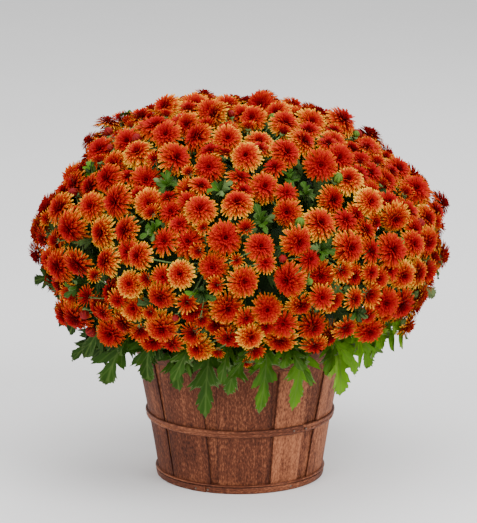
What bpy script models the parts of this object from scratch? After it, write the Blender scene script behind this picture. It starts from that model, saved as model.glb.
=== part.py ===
"""Pot chrysanthemum in a split-wood basket.

The plant is a dome of double blooms on sprays, over a bush of lobed leaves on six
stems. The stems stand in the soil of a nursery pot, and the pot stands in a basket of
upright staves held by hoops. Metres, +Z up, origin at the middle of the basket's foot.
Azimuths are in degrees from the front (-Y), positive towards +X.
"""

import math

import bmesh
import bpy
import numpy as np
from mathutils import Matrix, Vector
from mathutils.bvhtree import BVHTree

# Basket
SIDES = 24
WALL_PROFILE = ((0.0, 0.1065), (0.071, 0.1180), (0.188, 0.1405))
STAVE_THICK = 0.0022
HOOP_THICK = 0.0030
CLEARANCE = 0.0003
STAVE_TOP = 0.187
STAVE_TAPER = 0.025
FRONT_STAVES = ((-36.5, 0.0600), (2.35, 0.0670), (32.3, 0.0430))
BACK_STAVES = 7
BACK_STAVE_WIDTHS = (0.056, 0.064)
BACK_START, BACK_END = 53.8, 305.9
INNER_STAVE_WIDTH = 0.048
BOTTOM_HOOP = (0.0, 0.0085)
BOTTOM_BEAD = (0.0088, 0.0120)
MIDDLE_HOOP = (0.0784, 0.0885)
RIM_HOOP = (0.1690, 0.1880)
FLOOR_THICK = 0.006

# Nursery pot and soil
POT_SIDES = 24
POT_BASE_RADIUS = 0.082
POT_TOP_RADIUS = 0.114
POT_WALL = 0.0018
POT_TOP = 0.178
POT_LIP_DROP = 0.010
POT_LIP_REACH = 0.003
SOIL_TOP = 0.165
STEM_HOLE_RADIUS = 0.0052
STEM_HOLE_DEPTH = 0.055

# Dome of blooms
DOME_RADIUS = 0.270
DOME_CENTRE = 0.322
DOME_RISE = 0.177
DOME_DROP = 0.190
LOWEST = -0.56
# Flatter shoulder: height on the unit ball, spread, depth as a share
SHOULDER = (0.55, 0.22, 0.06)
# Waves round the dome: share, waves in a turn, phase, twist with height
WAVES = ((0.012, 3, 0.8, 0.0), (0.010, 5, 0.0, 4.0))
# Where the dome swells or sinks: azimuth, height on the unit ball, share, spread
SWELLS = (
    (112.0, 0.71, -0.055, 0.140),
    (-100.0, 0.42, -0.085, 0.030),
    (-113.0, 0.74, 0.050, 0.025),
    (88.0, -0.12, -0.020, 0.030),
    (-85.0, -0.24, -0.040, 0.020),
)
BLOOM_COUNT = 262
BLOOM_RADII = (0.0184, 0.0262)
BLOOM_GAP = 0.0008
BLOOM_DEPTH = 0.40
BLOOM_SINK = 0.016
BLOOM_OVERSIZE = 1.14
BLOOM_TRIM = 0.975
BLOOM_ROOM = 0.0006
BLOOM_NEAR = 0.075
TRIM_ROUNDS = 24
RELAX_ROUNDS = 160
PETALS = 5
NECK_RADIUS = 0.0032
SPRAY_COUNT = 24
HUB_RADIUS = 0.0090
HUB_DEPTH = 0.045
# How far an icosphere's flat faces lie from its middle, as a share of its radius
HUB_FLAT = 0.7947
SEED = 41

# Leafy stems
STEM_COUNT = 6
STEM_RING = 0.045
STEM_RADIUS = 0.0048
CORE_PROFILE = (
    (0.118, 0.199),
    (0.152, 0.208),
    (0.178, 0.248),
    (0.186, 0.308),
    (0.168, 0.360),
    (0.118, 0.397),
)
CORE_BOTTOM = 0.197
CORE_TOP = 0.418
CORE_FACETS = 4
CORE_GAP = 0.00045
CORE_BUMP = 0.0050
BRANCH_RADIUS = 0.0024
LEAF_THICK = 0.0009
LEAF_MARGIN = 0.0004
LEAF_TRIES = 40
LARGE_LEAF = (
    (0.00, 0.035),
    (0.20, 0.040),
    (0.37, 0.430),
    (0.48, 0.250),
    (0.66, 0.500),
    (0.79, 0.250),
)
SMALL_LEAF = ((0.00, 0.06), (0.30, 0.08), (0.55, 0.50), (0.72, 0.30))
# Leaves over the rim: azimuth, length, width, height of the tip
FRONT_SKIRT = (
    (-63.0, 0.104, 0.072, 0.138),
    (-45.0, 0.078, 0.052, 0.156),
    (-29.0, 0.076, 0.048, 0.148),
    (-14.0, 0.104, 0.060, 0.115),
    (13.0, 0.086, 0.052, 0.122),
    (29.5, 0.090, 0.054, 0.120),
    (48.0, 0.100, 0.068, 0.136),
    (68.0, 0.080, 0.052, 0.158),
)
BACK_SKIRT = 15
# Share of its azimuth by which a leaf in front faces sideways
FRONT_FACING = 0.4
# Leaves that show between the blooms: azimuth, height
LEAF_SITES = (
    (19.9, 0.463),
    (-7.2, 0.441),
    (6.5, 0.391),
    (23.4, 0.353),
    (-26.4, 0.374),
    (-78.0, 0.262),
    (84.0, 0.285),
)
SPARE_LEAF_SITES = 15
LEAF_SITE_RADIUS = 0.0150
LEAF_SITE_REACH = 0.24


# Shared helpers


def place(azimuth, radius, height):
    """Point at an azimuth in degrees from the front, a radius and a height."""
    turn = math.radians(azimuth)
    return Vector((radius * math.sin(turn), -radius * math.cos(turn), height))


def material(name, colour, roughness, metallic=0.0):
    """Principled material with plain values."""
    made = bpy.data.materials.new(name)
    made.use_nodes = True
    shader = made.node_tree.nodes["Principled BSDF"]
    shader.inputs["Base Color"].default_value = (*colour, 1.0)
    shader.inputs["Roughness"].default_value = roughness
    shader.inputs["Metallic"].default_value = metallic
    made.diffuse_color = (*colour, 1.0)
    return made


def to_object(name, bm, colour, roughness, smooth=None):
    """Object from a bmesh, with its own material, facing out."""
    bmesh.ops.recalc_face_normals(bm, faces=bm.faces)
    mesh = bpy.data.meshes.new(name)
    bm.to_mesh(mesh)
    bm.free()
    obj = bpy.data.objects.new(name, mesh)
    bpy.context.scene.collection.objects.link(obj)
    mesh.materials.append(material(name, colour, roughness))
    if smooth is not None:
        mesh.shade_smooth()
        mesh.set_sharp_from_angle(angle=math.radians(smooth))
    return obj


def solid(points, faces):
    """Bmesh from points and lists of point numbers."""
    bm = bmesh.new()
    verts = [bm.verts.new(point) for point in points]
    for face in faces:
        bm.faces.new([verts[n] for n in face])
    bmesh.ops.recalc_face_normals(bm, faces=bm.faces)
    return bm


def largest_body(bm):
    """Drop every loose scrap and keep the largest body of a bmesh."""
    left = set(bm.verts)
    bodies = []
    while left:
        body = {left.pop()}
        edge = list(body)
        while edge:
            vert = edge.pop()
            for link in vert.link_edges:
                other = link.other_vert(vert)
                if other in left:
                    left.discard(other)
                    body.add(other)
                    edge.append(other)
        bodies.append(body)
    bodies.sort(key=len)
    scrap = [vert for body in bodies[:-1] for vert in body]
    bmesh.ops.delete(bm, geom=scrap, context="VERTS")


def unite(name, pieces, colour, roughness, solver="EXACT"):
    """One body from overlapping solids, by one union on a collection."""
    base = to_object(name, pieces[0], colour, roughness)
    group = bpy.data.collections.new(name + "_parts")
    bpy.context.scene.collection.children.link(group)
    for number, piece in enumerate(pieces[1:]):
        mesh = bpy.data.meshes.new(f"{name}_{number}")
        piece.to_mesh(mesh)
        piece.free()
        group.objects.link(bpy.data.objects.new(mesh.name, mesh))
    union = base.modifiers.new("union", "BOOLEAN")
    union.operation = "UNION"
    union.operand_type = "COLLECTION"
    union.collection = group
    union.solver = solver
    graph = bpy.context.evaluated_depsgraph_get()
    graph.update()
    joined = bpy.data.meshes.new_from_object(base.evaluated_get(graph))
    base.modifiers.clear()
    for extra in list(group.objects):
        bpy.data.objects.remove(extra)
    bpy.data.collections.remove(group)
    bm = bmesh.new()
    bm.from_mesh(joined)
    bmesh.ops.remove_doubles(bm, verts=bm.verts, dist=2e-6)
    bmesh.ops.dissolve_degenerate(bm, edges=bm.edges, dist=2e-6)
    largest_body(bm)
    bmesh.ops.triangulate(bm, faces=bm.faces)
    bm.to_mesh(base.data)
    bm.free()
    bpy.data.meshes.remove(joined)
    return base


# Basket


def wall_radius(height):
    """Outer radius of the outer staves at a height."""
    heights = [row[0] for row in WALL_PROFILE]
    radii = [row[1] for row in WALL_PROFILE]
    if height > heights[-1]:
        slope = (radii[-1] - radii[-2]) / (heights[-1] - heights[-2])
        return radii[-1] + slope * (height - heights[-1])
    return float(np.interp(height, heights, radii))


def band(columns, levels, near, far, closed):
    """Solid strip on the wall's facets, between two offsets from its outer face."""
    points = []
    for azimuth in columns:
        for height in levels:
            points.append(place(azimuth, wall_radius(height) + near, height))
            points.append(place(azimuth, wall_radius(height) + far, height))
    rows = 2 * len(levels)
    faces = []
    spans = len(columns) if closed else len(columns) - 1
    for col in range(spans):
        here = col * rows
        there = (col + 1) % len(columns) * rows
        for row in range(0, rows - 2, 2):
            faces.append((here + row, there + row, there + row + 2, here + row + 2))
            up = row + 1
            faces.append((here + up, here + up + 2, there + up + 2, there + up))
        faces.append((here, here + 1, there + 1, there))
        top = rows - 2
        faces.append((here + top, there + top, there + top + 1, here + top + 1))
    if not closed:
        for start in (0, (len(columns) - 1) * rows):
            for row in range(0, rows - 2, 2):
                faces.append(tuple(start + row + n for n in (0, 2, 3, 1)))
    return solid(points, faces)


def slice_off(bm, point, normal):
    """Cut away what lies past a plane and close the cut."""
    geometry = bm.verts[:] + bm.edges[:] + bm.faces[:]
    cut = bmesh.ops.bisect_plane(
        bm, geom=geometry, plane_co=point, plane_no=normal, clear_outer=True
    )
    edges = [part for part in cut["geom_cut"] if isinstance(part, bmesh.types.BMEdge)]
    bmesh.ops.edgeloop_fill(bm, edges=edges)


def stave(name, azimuth, width, near, far, top, colour):
    """Upright strip of wood, a little narrower at its foot, bent to the wall."""
    step = 360.0 / SIDES
    first = math.floor((azimuth - 28.0) / step)
    last = math.ceil((azimuth + 28.0) / step)
    columns = [step * n for n in range(first, last + 1)]
    levels = (0.0, WALL_PROFILE[1][0], top)
    bm = band(columns, levels, near, far, closed=False)
    middle = place(azimuth, 1.0, 0.0)
    along = Vector((-middle.y, middle.x, 0.0))
    foot = width / 2 - STAVE_TAPER * 0.047
    for side in (-1, 1):
        normal = (side * along - Vector((0, 0, STAVE_TAPER))).normalized()
        slice_off(bm, side * along * foot, normal)
    return to_object(name, bm, colour, 0.55)


def outer_stave_places():
    """Azimuth and width of each outer stave: three at the front, seven behind."""
    rng = np.random.default_rng(SEED)
    radius = wall_radius(0.047)
    places = list(FRONT_STAVES)
    widths = rng.uniform(*BACK_STAVE_WIDTHS, BACK_STAVES)
    spans = 2 * np.degrees(np.arcsin(widths / 2 / radius))
    gap = (BACK_END - BACK_START - spans.sum()) / (BACK_STAVES - 1)
    start = BACK_START
    for width, span in zip(widths, spans):
        places.append((start + span / 2, float(width)))
        start += span + gap
    return places


def build_staves():
    """Outer staves, and inner staves behind the gaps between them."""
    outer = outer_stave_places()
    radius = wall_radius(0.047)
    rng = np.random.default_rng(SEED + 1)
    for number, (azimuth, width) in enumerate(outer, 1):
        tone = 0.8 + 0.4 * rng.random()
        colour = (0.125 * tone, 0.048 * tone, 0.024 * tone)
        top = STAVE_TOP + 0.002 * rng.random()
        name = f"stave_outer_{number:02d}"
        stave(name, azimuth, width, -STAVE_THICK, 0.0, top, colour)
    edges = []
    for azimuth, width in outer:
        half = math.degrees(math.asin(width / 2 / radius))
        edges.append((azimuth - half, azimuth + half))
    edges.sort()
    gaps = []
    for number, (_, right) in enumerate(edges):
        following = edges[(number + 1) % len(edges)][0]
        following += 360.0 if following < right else 0.0
        gaps.append((right + following) / 2)
    gaps.sort(key=lambda turn: (turn + 60.0) % 360.0)
    far = -STAVE_THICK - CLEARANCE
    inner_radius = wall_radius(0.0) + far
    for number, azimuth in enumerate(gaps, 1):
        spaces = [abs((azimuth - turn + 180) % 360 - 180) for turn in gaps]
        room = math.radians(sorted(spaces)[1]) * inner_radius - 0.002
        width = min(INNER_STAVE_WIDTH, room)
        top = STAVE_TOP + 0.001 * rng.random()
        name = f"stave_inner_{number:02d}"
        colour = (0.17, 0.072, 0.036)
        stave(name, azimuth, width, far - STAVE_THICK, far, top, colour)


def hoop(name, heights, near, colour):
    """Closed band round the wall."""
    columns = [360.0 / SIDES * n for n in range(SIDES)]
    bm = band(columns, heights, near, near + HOOP_THICK, closed=True)
    return to_object(name, bm, colour, 0.5, smooth=30)


def build_hoops():
    """The three hoops outside, the bead on the lowest, and the hoop inside the rim."""
    hoop("hoop_bottom", BOTTOM_HOOP, CLEARANCE, (0.14, 0.055, 0.03))
    hoop("hoop_bottom_bead", BOTTOM_BEAD, CLEARANCE, (0.16, 0.065, 0.035))
    hoop("hoop_middle", MIDDLE_HOOP, CLEARANCE, (0.13, 0.05, 0.026))
    hoop("hoop_rim_outer", RIM_HOOP, CLEARANCE, (0.15, 0.06, 0.032))
    inside = -2 * STAVE_THICK - 2 * CLEARANCE - HOOP_THICK
    hoop("hoop_rim_inner", RIM_HOOP, inside, (0.15, 0.06, 0.032))


def turned(profile, sides):
    """Closed solid turned from a profile that starts and ends on the axis."""
    points = [Vector((0, 0, profile[0][1]))]
    for radius, height in profile[1:-1]:
        for side in range(sides):
            points.append(place(360.0 / sides * side, radius, height))
    points.append(Vector((0, 0, profile[-1][1])))
    rings = len(profile) - 2
    faces = []
    for side in range(sides):
        after = (side + 1) % sides
        faces.append((0, 1 + after, 1 + side))
        for ring in range(rings - 1):
            low = 1 + ring * sides
            high = low + sides
            faces.append((low + side, low + after, high + after, high + side))
        last = 1 + (rings - 1) * sides
        faces.append((last + side, last + after, len(points) - 1))
    return solid(points, faces)


def prism(start, end, start_radius, end_radius, sides, axis=None):
    """Tapered rod between two points, with both flat ends square to an axis."""
    axis = axis or (end - start).normalized()
    side = axis.orthogonal().normalized()
    if abs(axis.z) > 0.999:
        side = Vector((1, 0, 0))
    other = axis.cross(side)
    points = []
    for point, radius in ((start, start_radius), (end, end_radius)):
        for n in range(sides):
            angle = 2 * math.pi * n / sides
            spoke = side * math.cos(angle) + other * math.sin(angle)
            points.append(point + spoke * radius)
    faces = [tuple(range(sides)), tuple(range(sides, 2 * sides))]
    for n in range(sides):
        after = (n + 1) % sides
        faces.append((n, after, sides + after, sides + n))
    return solid(points, faces)


def build_floor_pot_soil():
    """Board under the staves, nursery pot on it, and soil with a hole for each stem."""
    floor_radius = wall_radius(0.0) - 2 * STAVE_THICK - 2 * CLEARANCE
    board = turned(
        ((0, 0.0), (floor_radius, 0.0), (floor_radius, FLOOR_THICK), (0, FLOOR_THICK)),
        SIDES,
    )
    to_object("basket_floor", board, (0.15, 0.07, 0.04), 0.6)
    base = FLOOR_THICK + CLEARANCE
    inside = base + POT_WALL
    lip = POT_TOP_RADIUS + POT_LIP_REACH
    lip_height = POT_TOP - POT_LIP_DROP
    profile = (
        (0, base),
        (POT_BASE_RADIUS, base),
        (POT_TOP_RADIUS, lip_height),
        (lip, lip_height),
        (lip, POT_TOP),
        (POT_TOP_RADIUS - POT_WALL, POT_TOP),
        (POT_BASE_RADIUS - POT_WALL, inside),
        (0, inside),
    )
    to_object("grower_pot", turned(profile, POT_SIDES), (0.02, 0.02, 0.02), 0.45, 40)
    slope = (POT_TOP_RADIUS - POT_BASE_RADIUS) / (POT_TOP - inside)
    low = POT_BASE_RADIUS - POT_WALL - 2 * CLEARANCE
    top_radius = low + slope * (SOIL_TOP - inside)
    bottom = inside + CLEARANCE
    heap = ((0, bottom), (low, bottom), (top_radius, SOIL_TOP), (0, SOIL_TOP))
    soil = to_object("soil", turned(heap, POT_SIDES), (0.03, 0.018, 0.011), 0.95)
    holes = bpy.data.collections.new("stem_holes")
    bpy.context.scene.collection.children.link(holes)
    for number in range(STEM_COUNT):
        foot = place(stem_azimuth(number), STEM_RING, SOIL_TOP - STEM_HOLE_DEPTH)
        head = foot + Vector((0, 0, STEM_HOLE_DEPTH + 0.01))
        cutter = prism(foot, head, STEM_HOLE_RADIUS, STEM_HOLE_RADIUS, 6)
        mesh = bpy.data.meshes.new(f"stem_hole_{number}")
        cutter.to_mesh(mesh)
        cutter.free()
        holes.objects.link(bpy.data.objects.new(mesh.name, mesh))
    cut = soil.modifiers.new("stem_holes", "BOOLEAN")
    cut.operation = "DIFFERENCE"
    cut.operand_type = "COLLECTION"
    cut.collection = holes
    cut.solver = "EXACT"
    graph = bpy.context.evaluated_depsgraph_get()
    graph.update()
    drilled = bpy.data.meshes.new_from_object(soil.evaluated_get(graph))
    soil.modifiers.clear()
    soil.data = drilled
    for extra in list(holes.objects):
        bpy.data.objects.remove(extra)
    bpy.data.collections.remove(holes)


# Dome of blooms


def swell(directions):
    """Share of the dome's size that it has in each unit direction."""
    share = np.ones(len(directions))
    for azimuth, height, gain, spread in SWELLS:
        middle = np.array(place(azimuth, math.sqrt(1 - height**2), height))
        share += gain * np.exp((directions @ middle - 1) / spread)
    return share


def on_dome(directions):
    """Points of the dome for unit directions, which are squashed to its shape."""
    rise = np.where(directions[:, 2] >= 0, DOME_RISE, DOME_DROP)
    height = directions[:, 2]
    middle, spread, depth = SHOULDER
    shoulder = depth * np.exp(-(((height - middle) / spread) ** 2))
    turn = np.arctan2(directions[:, 0], -directions[:, 1])
    wave = np.zeros(len(directions))
    for size, count, phase, twist in WAVES:
        wave += size * np.sin(count * turn + phase + twist * height)
    share = swell(directions)
    reach = DOME_RADIUS * (1 - shoulder + wave * (1 - height**2)) * share
    points = np.empty_like(directions)
    points[:, 0] = directions[:, 0] * reach
    points[:, 1] = directions[:, 1] * reach
    points[:, 2] = DOME_CENTRE + height * rise * share
    return points


def to_directions(points):
    """Unit directions of points near the dome, none below its lowest ring."""
    rise = np.where(points[:, 2] >= DOME_CENTRE, DOME_RISE, DOME_DROP)
    found = np.empty_like(points)
    found[:, :2] = points[:, :2] / DOME_RADIUS
    found[:, 2] = (points[:, 2] - DOME_CENTRE) / rise
    return settle(found)


def settle(directions):
    """Directions brought back to unit length, none below the lowest ring."""
    found = directions / np.linalg.norm(directions, axis=1)[:, None]
    low = found[:, 2] < LOWEST
    flat = math.sqrt(1 - LOWEST**2)
    level = np.linalg.norm(found[low, :2], axis=1)[:, None]
    found[low, :2] *= flat / level
    found[low, 2] = LOWEST
    return found


def dome_normals(directions):
    """Outward unit normals of the dome."""
    rise = np.where(directions[:, 2] >= 0, DOME_RISE, DOME_DROP)
    normals = directions.copy()
    normals[:, :2] /= DOME_RADIUS
    normals[:, 2] /= rise
    return normals / np.linalg.norm(normals, axis=1)[:, None]


def spiral(count):
    """Directions spread evenly over the dome by a golden-angle spiral."""
    heights = np.linspace(1.0, LOWEST, 400)
    rise = np.where(heights >= 0, DOME_RISE, DOME_DROP)
    radius = DOME_RADIUS * np.sqrt(np.maximum(1 - heights**2, 0))
    level = np.hypot(np.gradient(radius), np.gradient(heights) * rise)
    area = np.cumsum(radius * level)
    wanted = (np.arange(count) + 0.5) / count * area[-1]
    height = np.interp(wanted, area, heights)
    turn = np.arange(count) * math.pi * (3 - math.sqrt(5))
    flat = np.sqrt(1 - height**2)
    return np.column_stack((flat * np.cos(turn), flat * np.sin(turn), height))


def relax(directions, radii, fixed, rounds):
    """Push crowded discs apart along the dome, leaving the first few in place."""
    for _ in range(rounds):
        points = on_dome(directions)
        apart = points[:, None] - points[None]
        space = np.linalg.norm(apart, axis=2)
        np.fill_diagonal(space, 1.0)
        wanted = radii[:, None] + radii[None] + BLOOM_GAP
        push = np.maximum(wanted - space, 0)
        move = (apart / space[..., None] * push[..., None]).sum(axis=1) * 0.35
        move[:fixed] = 0
        move[:, :2] /= DOME_RADIUS
        move[:, 2] /= np.where(directions[:, 2] >= 0, DOME_RISE, DOME_DROP)
        directions = settle(directions + move)
    return directions


class BloomField:
    """Where each bloom, leaf between blooms and spray sits on the dome."""

    def __init__(self):
        rng = np.random.default_rng(SEED + 2)
        sites = len(LEAF_SITES)
        spare = SPARE_LEAF_SITES
        start = spiral(BLOOM_COUNT + spare)
        picked = np.linspace(6, len(start) - 9, spare).astype(int)
        rest = np.setdiff1d(np.arange(len(start)), picked)
        reach = LEAF_SITE_REACH
        named = np.array([place(turn, reach, height) for turn, height in LEAF_SITES])
        ordered = np.vstack((to_directions(named), start[picked], start[rest]))
        ordered[sites:] += rng.normal(0, 0.02, ordered[sites:].shape)
        ordered = settle(ordered)
        leaves = sites + spare
        radii = np.full(len(ordered), LEAF_SITE_RADIUS)
        radii[leaves:] = rng.uniform(*BLOOM_RADII, len(ordered) - leaves)
        ordered = relax(ordered, radii, sites, RELAX_ROUNDS)
        points = on_dome(ordered)
        normals = dome_normals(ordered)
        sink = rng.uniform(0, BLOOM_SINK, len(ordered))
        sink[:leaves] = 0.004
        points -= normals * sink[:, None]
        apart = np.linalg.norm(points[:, None] - points[None], axis=2)
        np.fill_diagonal(apart, 1.0)
        share = radii[:, None] / (radii[:, None] + radii[None])
        room = ((apart - BLOOM_GAP) * share).min(axis=1)
        self.leaf_points = points[:leaves]
        self.leaf_normals = normals[:leaves]
        self.points = points[leaves:]
        self.normals = normals[leaves:]
        self.radii = np.minimum(room * BLOOM_OVERSIZE, radii)[leaves:]
        self.rolls = rng.uniform(0, 2 * math.pi, len(self.points))
        self.lean = rng.normal(0, 0.10, self.points.shape)
        self.group_sprays()
        self.trim_radii()

    def group_sprays(self):
        """Group the blooms in sprays of near neighbours, and set each spray's hub."""
        centres = on_dome(spiral(SPRAY_COUNT))
        for _ in range(12):
            apart = np.linalg.norm(self.points[:, None] - centres[None], axis=2)
            owner = apart.argmin(axis=1)
            means = [self.points[owner == n].mean(axis=0) for n in range(SPRAY_COUNT)]
            centres = np.array(means)
        self.owner = owner
        directions = to_directions(centres)
        self.hub_normals = dome_normals(directions)
        self.hubs = on_dome(directions) - self.hub_normals * HUB_DEPTH

    def trim_radii(self):
        """Shrink blooms of different sprays until they are clear of each other."""
        apart = np.linalg.norm(self.points[:, None] - self.points[None], axis=2)
        near = (apart < BLOOM_NEAR) & (self.owner[:, None] != self.owner[None])
        pairs = np.argwhere(np.triu(near))
        trees = [self.tree(number) for number in range(len(self.points))]
        for _ in range(TRIM_ROUNDS):
            meeting = {n for a, b in pairs if trees[a].overlap(trees[b]) for n in (a, b)}
            for number in meeting:
                self.radii[number] *= BLOOM_TRIM
                trees[number] = self.tree(number)
            if not meeting:
                break

    def tree(self, number):
        """Search tree of a bloom's solid, with room round it."""
        bm = self.bloom(number, BLOOM_ROOM)
        tree = BVHTree.FromBMesh(bm)
        bm.free()
        return tree

    def bloom(self, number, room=0.0):
        """Solid of one bloom, widened by some room."""
        hub = Vector(self.hubs[self.owner[number]])
        centre = Vector(self.points[number])
        radius = self.radii[number] + room
        axis = self.axis(number)
        return bloom_solid(centre, axis, self.rolls[number], radius, hub)

    def axis(self, number):
        """Way that a bloom faces: outwards, and a little upwards low on the dome."""
        hub = self.hubs[self.owner[number]]
        away = self.points[number] - hub
        away = away / np.linalg.norm(away)
        normal = self.normals[number]
        facing = 0.7 * normal + 0.3 * away + self.lean[number]
        facing[2] += 0.25 * max(0.0, -normal[2] + 0.1)
        return Vector(facing).normalized()


def bloom_solid(centre, axis, roll, radius, hub):
    """Bloom of two petal layers on its stalk, which runs to a point inside the hub."""
    side = axis.orthogonal().normalized()
    other = axis.cross(side)

    def ring(count, reach, lift, phase=0.0):
        found = []
        for n in range(count):
            angle = roll + 2 * math.pi * (n + phase) / count
            spoke = side * math.cos(angle) + other * math.sin(angle)
            found.append(centre + spoke * reach + axis * lift)
        return found

    tips = ring(PETALS, radius * 0.97, radius * 0.10, 0.5)
    notches = ring(PETALS, radius * 0.80, -radius * 0.03)
    inner = ring(PETALS, radius * 0.52, radius * 0.36)
    points = [centre + axis * radius * 0.24] + inner
    for notch, tip in zip(notches, tips):
        points += [notch, tip]
    neck = ring(3, NECK_RADIUS, -radius * BLOOM_DEPTH)
    stalk = centre - axis * radius * BLOOM_DEPTH - hub
    points += neck
    points.append(hub - stalk.normalized() * HUB_RADIUS * 0.5)
    rim = 1 + PETALS
    low = rim + 2 * PETALS
    faces = []
    for n in range(PETALS):
        after = (n + 1) % PETALS
        notch, tip, next_notch = rim + 2 * n, rim + 2 * n + 1, rim + 2 * after
        faces.append((0, 1 + n, 1 + after))
        faces.append((1 + n, notch, tip))
        faces.append((1 + n, tip, 1 + after))
        faces.append((1 + after, tip, next_notch))
    count = 2 * PETALS
    owner = [round(3 * n / count) % 3 for n in range(count)]
    for n in range(count):
        after = (n + 1) % count
        faces.append((rim + n, rim + after, low + owner[n]))
        if owner[n] != owner[after]:
            faces.append((rim + after, low + owner[after], low + owner[n]))
    for n in range(3):
        faces.append((low + n, low + (n + 1) % 3, low + 3))
    return solid(points, faces)


def hub_solid(centre, normal):
    """Knob where a spray's stalks meet, with a flat face turned inwards."""
    bm = bmesh.new()
    bmesh.ops.create_icosphere(bm, subdivisions=1, radius=HUB_RADIUS)
    bm.faces.ensure_lookup_table()
    bm.normal_update()
    turn = bm.faces[0].normal.rotation_difference(-normal).to_matrix().to_4x4()
    bmesh.ops.transform(bm, matrix=Matrix.Translation(centre) @ turn, verts=bm.verts)
    return bm


def spray_solids(field):
    """Each spray's solids: its hub, then each bloom on its stalk."""
    sprays = []
    for spray in range(SPRAY_COUNT):
        hub = Vector(field.hubs[spray])
        pieces = [hub_solid(hub, Vector(field.hub_normals[spray]))]
        members = np.flatnonzero(field.owner == spray)
        pieces += [field.bloom(number) for number in members]
        sprays.append(pieces)
    return sprays


def unite_sprays(sprays):
    """Each spray as one body."""
    for spray, pieces in enumerate(sprays):
        tone = 0.85 + 0.3 * ((spray * 7) % 10) / 10
        colour = (0.52 * tone, 0.085 * tone, 0.03 * tone)
        unite(f"spray_{spray + 1:02d}", pieces, colour, 0.6)


# Leafy stems


def stem_azimuth(number):
    """Azimuth of the middle of a stem's sixth of the bush."""
    return 360.0 / STEM_COUNT * number


def core_solid(number, rng):
    """A stem's sixth of the dense inner foliage, with an uneven surface."""
    middle = stem_azimuth(number)
    half = 180.0 / STEM_COUNT
    offset = place(middle, CORE_GAP / 2 / math.sin(math.radians(half)), 0.0)
    step = 2 * half / CORE_FACETS
    columns = [middle - half + step * n for n in range(CORE_FACETS + 1)]
    points = [Vector((0, 0, CORE_BOTTOM)) + offset, Vector((0, 0, CORE_TOP)) + offset]
    for column, azimuth in enumerate(columns):
        edge = column in (0, CORE_FACETS)
        for radius, height in CORE_PROFILE:
            bump = 0.0 if edge else rng.uniform(-CORE_BUMP, CORE_BUMP)
            points.append(place(azimuth, radius + bump, height + bump) + offset)
    rows = len(CORE_PROFILE)
    faces = []
    for column in range(CORE_FACETS):
        here = 2 + column * rows
        there = here + rows
        faces.append((0, there, here))
        faces.append((1, here + rows - 1, there + rows - 1))
        for row in range(rows - 1):
            if (column + row) % 2:
                faces.append((here + row, there + row, there + row + 1))
                faces.append((here + row, there + row + 1, here + row + 1))
            else:
                faces.append((here + row, there + row, here + row + 1))
                faces.append((there + row, there + row + 1, here + row + 1))
    first = [0] + [2 + row for row in range(rows)] + [1]
    last = [0] + [2 + CORE_FACETS * rows + row for row in range(rows)] + [1]
    faces += [tuple(first), tuple(reversed(last))]
    return solid(points, faces)


def leaf_solid(stations, root, bend, tip, across, width, wave, thick):
    """Thin lobed blade along a curve, with the same triangles on both faces."""
    across = across.normalized()
    upper, lower = [], []
    rows = []
    for number, (along, half) in enumerate(stations + ((1.0, 0.0),)):
        back = 1 - along
        centre = root * back**2 + bend * 2 * along * back + tip * along**2
        ahead = (bend - root) * back + (tip - bend) * along
        normal = ahead.cross(across).normalized()
        lift = wave * (1 if number % 2 else -0.6) if half > 0.2 else 0.0
        sides = (-1, 1) if half else (0,)
        row = []
        for side in sides:
            point = centre + across * side * half * width + normal * lift * side
            row.append(len(upper))
            upper.append(point + normal * thick / 2)
            lower.append(point - normal * thick / 2)
        rows.append(row)
    total = len(upper)
    triangles = []
    for near, far in zip(rows, rows[1:]):
        triangles.append((near[0], near[1], far[0]))
        if len(far) == 2:
            triangles.append((near[1], far[1], far[0]))
    faces = list(triangles)
    faces += [(c + total, b + total, a + total) for a, b, c in triangles]
    left = [row[0] for row in rows]
    right = [row[1] for row in rows[:-1]]
    outline = left + right[::-1]
    for n, here in enumerate(outline):
        there = outline[(n + 1) % len(outline)]
        faces.append((here, there, there + total))
        faces.append((here, there + total, here + total))
    return solid(upper + lower, faces)


def sector_of(point):
    """Number of the stem whose sixth of the bush a point lies in."""
    turn = math.degrees(math.atan2(point[0], -point[1])) % 360.0
    return int(round(turn / (360.0 / STEM_COUNT))) % STEM_COUNT


def inside_core(point, number, depth):
    """Point moved to lie inside a stem's part of the inner foliage."""
    centre = Vector((0, 0, 0.30)) + place(stem_azimuth(number), 0.035, 0.0)
    return point + (centre - point).normalized() * depth


def skirt_leaves():
    """Leaves over the rim: azimuth, facing, length, width and height of the tip."""
    rng = np.random.default_rng(SEED + 5)
    leaves = [(turn, turn * FRONT_FACING, *sizes) for turn, *sizes in FRONT_SKIRT]
    for azimuth in np.linspace(86.0, 276.0, BACK_SKIRT):
        turn = azimuth + rng.uniform(-3, 3)
        length = rng.uniform(0.070, 0.098)
        width = rng.uniform(0.048, 0.064)
        tip_height = 0.212 - length * rng.uniform(0.70, 0.92)
        leaves.append((turn, turn, length, width, tip_height))
    return leaves


def skirt_leaf_solid(azimuth, facing, length, width, tip_height, draw, thick):
    """One leaf that grows out over the rim and hangs down outside it."""
    root = place(azimuth + 3 * draw[0], 0.138, 0.2125)
    reach = math.sqrt(max(length**2 - (0.2125 - tip_height) ** 2, 0.02**2))
    bend = place(azimuth, 0.168 + 0.12 * reach, 0.208 - 0.004 * abs(draw[1]))
    tip = place(azimuth + 3 * draw[1], 0.146 + 0.55 * reach, tip_height)
    across = place(facing + 90.0, 1.0, 0.25 * draw[2])
    return leaf_solid(LARGE_LEAF, root, bend, tip, across, width, 0.0022, thick)


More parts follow.
